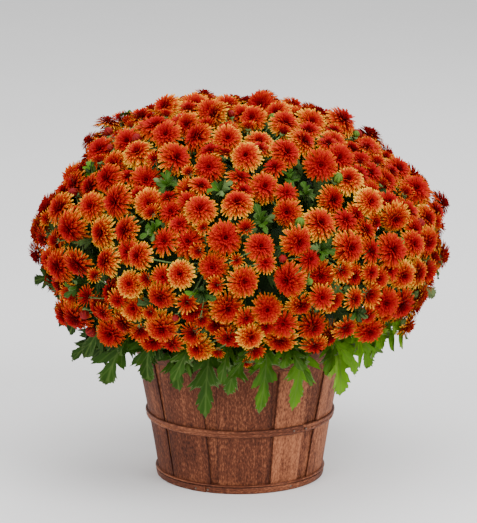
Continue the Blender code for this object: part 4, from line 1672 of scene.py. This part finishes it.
@dataclass
class Fringe:
    """The few leaves that peep out between blooms round the flank."""

    sites: Rows = (
        (-88.0, 0.268, 0.263, 0.259, 80.0), (-84.0, 0.240, 0.256, 0.220, 80.0),
        (-79.0, 0.222, 0.206, 0.160, 25.0), (92.0, 0.264, 0.286, 0.279, 80.0),
        (86.0, 0.254, 0.266, 0.240, 75.0), (-112.0, 0.256, 0.272, 0.250, 40.0),
        (115.0, 0.252, 0.268, 0.245, 40.0), (150.0, 0.246, 0.264, 0.240, 30.0),
        (180.0, 0.238, 0.270, 0.248, 20.0), (-150.0, 0.250, 0.266, 0.240, 30.0),
    )
    length: float = 0.052
    bend_rise: float = 0.007
    tone: tuple[float, float] = (0.50, 0.36)
    widths: Span = (0.042, 0.050)
    seed: int = 12

    def grow(self, leaves: LeafMaker) -> None:
        """Add the leaves one by one.

        Args:
            leaves: The bush.
        """
        rng = np.random.default_rng(self.seed)
        base, gain = self.tone
        for azimuth, out, root_height, tip_height, turn in self.sites:
            root = place(azimuth, out - self.length, root_height)
            tip = place(azimuth, out, tip_height)
            bend = (root + tip) / 2 + [0, 0, self.bend_rise]
            level = place(azimuth + 90.0, 1.0, 0.0)
            steep = np.cross(level, unit(tip - root))
            across = level * math.cos(math.radians(turn)) + steep * math.sin(math.radians(turn))
            tone = base + gain * leaves.sunlit(azimuth)
            width = rng.uniform(*self.widths)
            leaves.add(azimuth, (root, bend, tip), across, width, tone, LeafDetail.SKIRT, rng)


@dataclass
class Foliage:
    """Main stems with their forks, all leaves, and the dense bush inside."""

    plan: DomePlan
    leaf: Material
    stalk: Material
    stem_ring: float = 0.045
    stem_radius: float = 0.0048
    stem_taper: float = 0.6
    stem_ends: Span = (0.1104, 0.30)
    stem_rings: int = 9
    stem_sides: int = 10
    stem_green: float = 0.35
    splay: float = 0.28
    soil_top: float = 0.165
    fork_from: int = 4
    fork_radii: Span = (0.0030, 0.0019)
    fork_greens: Span = (0.2, 0.7)
    fork_rings: int = 8
    fork_sides: int = 7
    fork_bend: float = 0.09
    core_grid: tuple[int, int] = (26, 13)
    core_bumps: Span = (-0.006, 0.003)
    core_profile: Rows = (
        (0.000, 0.199), (0.118, 0.201), (0.146, 0.210), (0.171, 0.248), (0.181, 0.308),
        (0.169, 0.364), (0.124, 0.408), (0.062, 0.432), (0.000, 0.436),
    )

    def build(self) -> None:
        """Grow all leaves, then make each stem's wood and leaves."""
        self.leaves = LeafMaker(self.plan)
        for group in (Skirt(), Eaves(), Uprights(), Filling(), Fringe()):
            group.grow(self.leaves)
        for number, stack in enumerate(self.leaves.stacks):
            node = f"leafy_stem_{number + 1}"
            self.stem_wood(number).show(f"{node}_wood", self.stalk, "leaves", node)
            self.add_core(stack, number)
            stack.show(f"{node}_leaves", self.leaf, "leaves", node)

    def stem_wood(self, number: int) -> MeshStack:
        """Make one stem with its forks.

        Args:
            number: The stem's number.

        Returns:
            The stem's shapes.
        """
        stack, rings = MeshStack(), self.stem_rings
        heights = np.linspace(*self.stem_ends, rings)
        ring = self.stem_ring + np.clip(heights - self.soil_top, 0, 1) * self.splay
        path = place(360.0 / self.leaves.stems * number, ring, heights)
        radii = np.linspace(1.0, self.stem_taper, rings) * self.stem_radius
        stack.tube(path, radii, self.stem_sides, np.linspace(0.0, self.stem_green, rings))
        part = np.linspace(0, 1, self.fork_rings)[:, None]
        radii = np.linspace(*self.fork_radii, self.fork_rings)
        greens = np.linspace(*self.fork_greens, self.fork_rings)
        for hub, way in zip(self.plan.hubs, self.plan.hub_normals):
            if self.leaves.sector(azimuth_of(hub)) == number:
                fork = path[self.leaves.rng.integers(self.fork_from, rings)]
                bow = bent(fork, hub - way * self.fork_bend, hub, part)
                stack.tube(bow, radii, self.fork_sides, greens)
        return stack

    def add_core(self, stack: MeshStack, number: int) -> None:
        """Add a stem's part of the dense inner bush, a sheet in the darkest leaf colour as painted shade.

        Args:
            stack: Where it goes.
            number: The stem's number.
        """
        half = 180.0 / self.leaves.stems
        rows, cols = self.core_grid
        radius, height = np.array(self.core_profile).T
        knots = np.arange(len(radius))
        steps = np.linspace(0, knots[-1], rows)
        turn = np.linspace(2 * half * number - half, 2 * half * number + half, cols)
        bump = self.leaves.rng.uniform(*self.core_bumps, (rows, cols))
        bump[:, 0] = bump[:, -1] = bump[0] = bump[-1] = 0.0
        wide = np.interp(steps, knots, radius)[:, None] + bump
        points = place(turn[None], wide, np.interp(steps, knots, height)[:, None] + bump).reshape(-1, 3)
        # Tone 0 gives the darkest leaf colour: the inner bush is a dark sheet of painted shade.
        values = {"along": 0.5, "across": 0.9, "tone": 0.0, "under": 0.0, "lie": points}
        stack.add(points, grid_faces(rows, cols), **values)


# Basket, pot and soil


FLAT = ((0.0, 0.72), (0.10, 0.95), (0.5, 1.0), (0.9, 0.95), (1.0, 0.72))
ROUNDED = ((0.0, 0.4), (0.2, 0.85), (0.5, 1.0), (0.8, 0.85), (1.0, 0.4))
RIDGED = (
    (0.0, 0.55), (0.10, 0.95), (0.28, 1.10), (0.44, 0.92), (0.50, 0.66),
    (0.56, 0.92), (0.72, 1.10), (0.90, 0.95), (1.0, 0.55),
)


@dataclass(frozen=True)
class Hoop:
    """One bent strip: its edges, outer face, where its ends lap, and its stain."""

    name: str
    low: float
    high: float
    profile: Rows
    lap: float
    tone: float
    inside: bool = False


@dataclass
class Basket:
    """Staves in two layers, held by hoops."""

    stave_wood: Material
    hoop_wood: Material
    nail: Material
    wall_heights: tuple[float, ...] = (0.0, 0.071, 0.188)
    wall_radii: tuple[float, ...] = (0.1065, 0.1180, 0.1405)
    widths_at: float = 0.047
    seat: float = 0.997
    joint: float = 0.002
    strip: float = 0.0022
    clearance: float = 0.0003
    front: Rows = ((-36.5, 0.0600, 0.36), (2.35, 0.0670, 0.44), (32.3, 0.0430, 0.90))
    back_widths: tuple[float, float] = (0.056, 0.064)
    back_span: tuple[float, float] = (53.8, 305.9)
    back_tones: tuple[float, ...] = (0.86, 0.55, 0.40, 0.62, 0.34, 0.48, 0.32)
    inner_tones: tuple[float, ...] = (0.62, 0.72, 0.50, 0.46)
    inner_width: float = 0.048
    first_gap: float = -60.0
    stave_grid: tuple[int, int] = (40, 11)
    stave_foot: float = 0.0004
    stave_top: float = 0.187
    stave_uneven: float = 0.0012
    stave_slack: float = 0.0002
    taper: float = 0.025
    fray: float = 0.00011
    warp: float = 0.00018
    warp_turn: float = 41.0
    grain: float = 0.00005
    bevel: float = 0.0005
    bevel_steep: float = 6.0
    # How narrow the painted shade along the staves' long edges is
    edge_shade_steep: float = 16.0
    hoop_thick: float = 0.0030
    hoop_cols: int = 190
    hoop_wobble: float = 0.00012
    wobble_waves: int = 5
    # Strength of the painted shade along each hoop's top and bottom edges
    hoop_edge_shade: float = 0.7
    shade_gain: float = 0.10
    shade_waves: int = 2
    lap_turn: float = 13.0
    lap_ease: float = 3.0
    lap_early: float = 1.0
    lap_rise: float = 0.0016
    lap_sink: float = 0.0004
    lap_thinning: float = 0.45
    hoops: tuple[Hoop, ...] = (
        Hoop("hoop_bottom", 0.0002, 0.0085, FLAT, -24.0, 0.50),
        Hoop("hoop_bottom_bead", 0.0088, 0.0120, ROUNDED, 35.0, 0.60),
        Hoop("hoop_middle", 0.0784, 0.0885, RIDGED, 41.0, 0.58),
        Hoop("hoop_rim_outer", 0.1690, 0.1880, FLAT, 150.0, 0.55),
        Hoop("hoop_rim_inner", 0.1690, 0.1880, FLAT, -140.0, 0.45, True),
    )
    nails: Rows = (
        (-22.0, 0.0045, 0.0047), (-31.0, 0.0040, 0.0047), (36.5, 0.0052, 0.0036),
        (43.0, 0.0834, 0.0052), (34.0, 0.0834, 0.0050), (147.0, 0.1785, 0.0050),
        (141.0, 0.1785, 0.0050),
    )
    nail_profile: Rows = ((-0.0030, 0.0010), (-0.0002, 0.0014), (0.0001, 0.0012), (0.0003, 0.0006))
    nail_sides: int = 12
    layout_seed: int = 41
    seed: int = 5

    def build(self) -> None:
        """Make the staves, the hoops and their nails."""
        self.rng = np.random.default_rng(self.seed)
        outer = self.outer_staves()
        for number, (azimuth, width, tone) in enumerate(outer, 1):
            self.add_stave(f"stave_outer_{number:02d}", azimuth, width, -self.strip, tone)
        gaps = self.gap_azimuths(outer)
        for number, azimuth in enumerate(gaps, 1):
            spaces = [abs(half_turn(azimuth - turn)) for turn in gaps]
            room = math.radians(sorted(spaces)[1]) * (self.wall_radii[0] - self.strip) - self.joint
            tone = self.inner_tones[number % len(self.inner_tones)]
            width = min(self.inner_width, room)
            near = -2 * self.strip - self.clearance
            self.add_stave(f"stave_inner_{number:02d}", azimuth, width, near, tone)
        for hoop in self.hoops:
            self.add_hoop(hoop)
        self.add_nails()

    def wall(self, height: Array | float) -> Array:
        """Outer radius of the outer staves at some heights."""
        return np.interp(height, self.wall_heights, self.wall_radii) * self.seat

    def spans(self, widths: Array) -> Array:
        """Degrees round the basket that strips cover where their widths are given."""
        radius = float(np.interp(self.widths_at, self.wall_heights, self.wall_radii))
        return 2 * np.degrees(np.arcsin(widths / 2 / radius))

    @staticmethod
    def near_edge(spread: Array, steep: float) -> Array:
        """Values that are 1 at a strip's two edges and fall to 0 inwards."""
        return np.clip(np.abs(spread) * steep - (steep - 1), 0, 1)

    def outer_staves(self) -> list[tuple[float, float, float]]:
        """Lay out the outer staves.

        Returns:
            Azimuth, width and tone of each.
        """
        count = len(self.back_tones)
        widths = np.random.default_rng(self.layout_seed).uniform(*self.back_widths, count)
        spans = self.spans(widths)
        start, end = self.back_span
        gap = (end - start - spans.sum()) / (count - 1)
        staves = list(self.front)
        for width, span, tone in zip(widths, spans, self.back_tones):
            staves.append((start + span / 2, float(width), tone))
            start += span + gap
        return staves

    def gap_azimuths(self, outer: list[tuple[float, float, float]]) -> list[float]:
        """Find the middle of each gap between outer staves.

        Args:
            outer: Azimuth, width and tone of each stave.

        Returns:
            Azimuths, in the order of the inner staves.
        """
        turns, widths, _ = np.array(outer).T
        half = self.spans(widths) / 2
        edges = sorted(zip(turns - half, turns + half))
        gaps = []
        for number, (_, right) in enumerate(edges):
            after = edges[(number + 1) % len(edges)][0]
            after += 360.0 if after < right else 0.0
            gaps.append((right + after) / 2)
        return sorted(gaps, key=lambda turn: (turn - self.first_gap) % 360.0)

    def add_stave(self, name: str, azimuth: float, width: float, near: float, tone: float) -> None:
        """Make one strip of split wood, with frayed, bevelled edges that carry painted shade, and a
        slight warp.

        Args:
            name: The node's name.
            azimuth: Where it stands.
            width: Its width.
            near: Offset of its inner face from the wall.
            tone: From 0, dark stain, to 1, pale.
        """
        rng = self.rng
        rows, cols = self.stave_grid
        spread = np.sin(np.linspace(-1, 1, cols) * math.pi / 2)
        top = self.stave_top + self.stave_uneven * rng.random()
        height = np.linspace(self.stave_foot, top, rows)[:, None]
        half = width / 2 - self.taper * self.widths_at + self.taper * height
        fray = np.cumsum(rng.normal(0, self.fray, (rows, 2)), axis=0)
        fray -= fray.mean(axis=0)
        across = (half - self.stave_slack + np.where(spread < 0, fray[:, :1], fray[:, 1:])) * spread
        warp = self.warp * np.sin(height * self.warp_turn + rng.uniform(*WAVE_STARTS)) * spread
        grain = rng.normal(0, self.grain, (1, cols))
        radius = self.wall(height) + near
        angle = azimuth + np.degrees(np.arcsin(across / radius))
        bevel = self.bevel * self.near_edge(spread, self.bevel_steep) ** 2
        front = place(angle, radius + self.strip - bevel + warp + grain, height)
        back = place(angle, radius + bevel + warp, height)
        size = rows * cols
        faces = grid_faces(rows, cols)
        sides = [faces, faces[:, ::-1] + size]
        line, run = np.arange(rows - 1) * cols, np.arange(cols - 1)
        for low, step, flip in (
            (line, cols, 1), (line + cols - 1, cols, -1), (run, 1, -1), (run + size - cols, 1, 1),
        ):
            quad = np.stack((low, low + step, low + step + size, low + size), -1)
            sides.append(quad[:, ::flip])
        own = rng.uniform(*TEXTURE_SHIFTS)
        lie = np.stack(np.broadcast_arrays(across, height, own), -1).reshape(-1, 3)
        # rim marks the strip's long edges for painted shade of the seams between staves.
        rim = np.tile(self.near_edge(spread, self.edge_shade_steep), 2 * rows)
        points = np.concatenate((front.reshape(-1, 3), back.reshape(-1, 3)))
        stack = MeshStack()
        stack.add(points, np.concatenate(sides), lie=np.tile(lie, (2, 1)), tone=tone, edge=rim)
        stack.show(f"{name}_board", self.stave_wood, "stave_wood", name, sharp=50)

    def add_hoop(self, hoop: Hoop) -> None:
        """Make one bent strip whose end laps over its start.

        Args:
            hoop: The strip.
        """
        rng = self.rng
        cols, lap = self.hoop_cols, hoop.lap
        near = self.clearance
        if hoop.inside:
            near = -2 * self.strip - 2 * self.clearance - self.hoop_thick
        turn = np.linspace(lap - self.lap_turn, lap + 360.0, cols)
        over = lap + (360.0 - self.lap_early) - self.lap_turn
        late = np.clip((turn - over) / self.lap_ease, 0, 1)
        early = 1 - np.clip((turn - lap) / self.lap_ease, 0, 1)
        stand = late * self.lap_rise - early * self.lap_sink
        shrink = 1 - self.lap_thinning * np.maximum(late, early)
        tall, deep = np.array(hoop.profile).T
        tall = hoop.low + (hoop.high - hoop.low) * tall
        ring = np.concatenate((tall, [tall[-1], tall[0]]))
        depth = np.concatenate((deep * self.hoop_thick, [0.0, 0.0]))
        angle = np.radians(turn)
        wobble = self.hoop_wobble * np.sin(angle * self.wobble_waves + rng.uniform(*WAVE_STARTS))
        wall = self.wall(ring)[None] + near
        radius = wall + depth[None] * shrink[:, None] + stand[:, None] + wobble[:, None]
        size = len(ring)
        own = rng.uniform(*TEXTURE_SHIFTS)
        lie = (ring[None] + depth[None], angle[:, None] * radius, own)
        lie = np.stack(np.broadcast_arrays(*lie), -1)
        rim = np.zeros((cols, size))
        # The hoop's top and bottom edges carry painted shade.
        rim[:, [0, len(tall) - 1]] = self.hoop_edge_shade
        shade = np.sin(angle * self.shade_waves + rng.uniform(*WAVE_STARTS))
        shade = hoop.tone + self.shade_gain * shade
        points = place(turn[:, None], radius, ring[None]).reshape(-1, 3)
        values = {"lie": lie.reshape(-1, 3), "tone": np.repeat(shade, size), "edge": rim.ravel()}
        stack = MeshStack()
        stack.add(points, grid_faces(cols, size, wrap=True), **values)
        stack.faces.append(np.arange(size)[None, ::-1])
        stack.faces.append(np.arange(size)[None] + (cols - 1) * size)
        stack.show(f"{hoop.name}_band", self.hoop_wood, "hoop_wood", hoop.name, sharp=40)

    def add_nails(self) -> None:
        """Make the nails in the hoops' laps."""
        stack = MeshStack()
        depths, sizes = np.array(self.nail_profile).T
        for azimuth, height, out in self.nails:
            head = place(azimuth, float(self.wall(height)) + out, height)
            path = head + place(azimuth, 1.0, 0.0) * depths[:, None]
            stack.tube(path, sizes, self.nail_sides, np.zeros(len(path)))
        stack.show("hoop_nails", self.nail, "hoop_wood")


@dataclass
class PotAndSoil:
    """Basket floor, nursery pot and the compost in it."""

    wood: Material
    plastic: Material
    soil: Material
    floor_radius: float = 0.1000
    floor_thick: float = 0.006
    floor_edge: Rows = ((0.0006, 0.0001), (0.0002, 0.0004), (0.0, 0.0010))
    floor_rings: int = 12
    floor_sides: int = 72
    board_width: float = 0.05
    board_start: float = 0.2
    board_tone: tuple[float, float] = (0.45, 0.10)
    board_turn: float = 2.4
    base: float = 0.0063
    base_radius: float = 0.082
    top_radius: float = 0.114
    wall: float = 0.0018
    top: float = 0.178
    lip_drop: float = 0.010
    lip: float = 0.003
    lip_round: float = 0.001
    foot_inset: float = 0.002
    foot_rise: float = 0.0015
    outer_rings: tuple[float, float, int] = (0.05, 0.97, 16)
    inner_rings: tuple[float, float, int] = (0.95, 0.0, 10)
    pot_sides: int = 96
    ribs: Rows = ((0.12, 0.2), (0.7, 0.78))
    rib_depth: float = 0.0006
    soil_top: float = 0.165
    soil_gap: float = 0.0003
    soil_inset: float = 0.0008
    soil_steps: tuple[float, ...] = (0.05, 0.10, 0.150)
    soil_dip: float = 0.0015
    soil_rings: int = 34
    soil_sides: int = 120
    crumbs: Span = (-0.0022, 0.0014)
    hub: float = 0.0005
    seed: int = 3

    def build(self) -> None:
        """Make the three pieces."""
        self.add_floor()
        self.add_pot()
        self.add_compost()

    @staticmethod
    def turned(profile: list, sides: int, bump: Array | float = 0.0) -> tuple[Array, Array]:
        """Turn a profile about the upright axis.

        Args:
            profile: Radius and height of each point.
            sides: Sides round it.
            bump: Extra height at each point and side.

        Returns:
            Points and faces.
        """
        turn = np.linspace(0, 360, sides, endpoint=False)
        radius, height = np.array(profile).T[..., None]
        points = place(turn[None], radius, (height + bump) * np.ones((1, sides)))
        return points.reshape(-1, 3), grid_faces(len(profile), sides, wrap=True)

    def add_floor(self) -> None:
        """Make the round board under the staves."""
        radius, thick = self.floor_radius, self.floor_thick
        (inset, low), *edge = self.floor_edge
        lower = [(ring, low) for ring in np.linspace(self.hub, radius - inset, self.floor_rings)]
        lower += [(radius - inset, height) for inset, height in edge]
        upper = [(ring, thick - height) for ring, height in reversed(lower)]
        points, faces = self.turned(lower + upper, self.floor_sides)
        board = np.floor((points[:, 0] + self.board_start) / self.board_width)
        lie = np.stack((points[:, 0], points[:, 1], points[:, 2] + board), -1)
        stack = MeshStack()
        base, spread = self.board_tone
        stack.add(points, faces, lie=lie, tone=base + spread * np.sin(board * self.board_turn), edge=0.0)
        stack.show("basket_floor_board", self.wood, "stave_wood", "basket_floor", sharp=40)

    def add_pot(self) -> None:
        """Make the nursery pot, with a rolled lip and foot ridges."""
        drop, out = self.top - self.lip_drop, self.top_radius + self.lip
        inside, flare = self.base + self.wall, self.top_radius - self.base_radius
        bend = self.lip_round
        profile = [(self.hub, self.base), (self.base_radius - self.foot_inset, self.base)]
        profile.append((self.base_radius, self.base + self.foot_rise))
        for part in np.linspace(*self.outer_rings):
            rib = self.rib_depth if any(low < part < high for low, high in self.ribs) else 0.0
            grow = self.base_radius + flare * part
            profile.append((grow - rib, self.base + (drop - self.base) * part))
        profile += [(self.top_radius, drop), (out - bend, drop), (out, drop + bend)]
        profile += [(out, self.top - bend), (out - bend, self.top)]
        profile += [(self.top_radius - self.wall, self.top)]
        for part in np.linspace(*self.inner_rings):
            grow = self.base_radius + flare * part
            profile.append((grow - self.wall, inside + (self.top - inside) * part))
        profile.append((self.hub, inside))
        stack = MeshStack()
        stack.add(*self.turned(profile, self.pot_sides), along=0.5)
        stack.show("grower_pot_shell", self.plastic, "pot_plastic", "grower_pot", sharp=40)

    def add_compost(self) -> None:
        """Make the compost, uneven on top."""
        inside = self.base + self.wall + self.soil_gap
        slope = (self.top_radius - self.base_radius) / (self.top - inside)
        low = self.base_radius - self.wall - self.soil_inset
        brim = low + slope * (self.soil_top - inside)
        profile = [(self.hub, inside), (low, inside)]
        profile += [(low + slope * (height - inside), height) for height in self.soil_steps]
        level = len(profile) + 1
        top = self.soil_top - self.soil_dip
        profile += [(radius, top) for radius in np.linspace(brim, self.hub, self.soil_rings)]
        bump = np.zeros((len(profile), self.soil_sides))
        rng = np.random.default_rng(self.seed)
        bump[level:-1] = rng.uniform(*self.crumbs, bump[level:-1].shape)
        stack = MeshStack()
        stack.add(*self.turned(profile, self.soil_sides, bump), along=0.0)
        stack.show("soil_compost", self.soil, "soil", "soil")


# Studio


@dataclass(frozen=True)
class Lamp:
    """One soft area lamp."""

    name: str
    azimuth: float
    elevation: float
    distance: float
    size: float
    power: float


@dataclass
class Studio:
    """Pale floor, soft lamps and the camera."""

    target: tuple[float, float, float] = (-0.002, 0.0, 0.283)
    elevation: float = 13.3
    distance: float = 5.0
    frame_height: float = 0.680
    sensor: float = 36.0
    floor_size: float = 9.0
    air: float = 0.90
    papers: tuple[Colour, Colour] = ((0.86, 0.86, 0.86), (0.90, 0.90, 0.90))
    lamps: tuple[Lamp, ...] = (
        Lamp("key", 38.0, 42.0, 2.6, 1.3, 52.0),
        Lamp("fill", -48.0, 30.0, 3.0, 2.2, 48.0),
        Lamp("top", 0.0, 84.0, 2.4, 2.0, 30.0),
        Lamp("back", 160.0, 40.0, 3.0, 1.6, 30.0),
    )

    def build(self) -> None:
        """Set the floor, the world, the lamps and the camera."""
        self.add_floor()
        self.light_air()
        for lamp in self.lamps:
            self.add_lamp(lamp)
        self.add_camera()

    def add_floor(self) -> None:
        """Lay the pale floor."""
        corners = np.array([(-1, -1, 0), (1, -1, 0), (1, 1, 0), (-1, 1, 0)]) * self.floor_size
        stack = MeshStack()
        stack.add(corners, np.array([[0, 1, 2, 3]]))
        kit = NodeKit("studio_paper")
        colour = kit.blend(kit.noise(None, 3.0, 2.0), *self.papers)
        stack.piece("studio_floor", kit.finish(colour, 0.9))

    def light_air(self) -> None:
        """Light the scene softly from all round."""
        world = bpy.data.worlds.new("studio_air")
        world.use_nodes = True
        background = world.node_tree.nodes["Background"]
        background.inputs["Color"].default_value = (1.0, 1.0, 1.0, 1.0)
        background.inputs["Strength"].default_value = self.air
        bpy.context.scene.world = world

    def aim(
        self, data: bpy.types.ID, azimuth: float, elevation: float, distance: float
    ) -> bpy.types.Object:
        """Put a lamp or camera in the scene, turned to the plant.

        Args:
            data: The lamp or camera.
            azimuth: Its azimuth, as seen from the plant.
            elevation: Its elevation in degrees.
            distance: Its distance.

        Returns:
            The new object.
        """
        rise = math.radians(elevation)
        away = Vector(place(azimuth, math.cos(rise), math.sin(rise)))
        made = bpy.data.objects.new(data.name, data)
        made.location = Vector(self.target) + away * distance
        made.rotation_euler = (-away).to_track_quat("-Z", "Y").to_euler()
        bpy.context.scene.collection.objects.link(made)
        return made

    def add_lamp(self, lamp: Lamp) -> None:
        """Hang one area lamp.

        Args:
            lamp: The lamp's place and power.
        """
        data = bpy.data.lights.new(f"lamp_{lamp.name}", "AREA")
        data.shape = "DISK"
        data.size = lamp.size
        data.energy = lamp.power
        self.aim(data, lamp.azimuth, lamp.elevation, lamp.distance)

    def add_camera(self) -> None:
        """Set the camera at the reference view."""
        data = bpy.data.cameras.new("view")
        data.sensor_width = self.sensor
        data.lens = self.sensor * self.distance / self.frame_height
        data.clip_end = 100.0
        bpy.context.scene.camera = self.aim(data, 0.0, self.elevation, self.distance)


def main() -> None:
    """Build and dress every piece, then the studio."""
    logging.basicConfig(level=logging.INFO, format="%(name)s %(message)s")
    plan = DomePlan()
    LOG.info("plan: %d blooms in %d sprays", len(plan.points), plan.sprays)
    stalk = StalkFinish().make()
    staves = WoodFinish("stave_stain", gloss=0.66).make()
    hoops = WoodFinish("hoop_stain", gloss=0.52).make()
    Basket(staves, hoops, NailFinish().make()).build()
    PotAndSoil(staves, PotFinish().make(), SoilFinish().make()).build()
    Foliage(plan, LeafFinish().make(), stalk).build()
    Flowers(plan, PetalFinish().make(), stalk, BudFinish().make()).build()
    Studio().build()


if __name__ == "__main__":
    main()
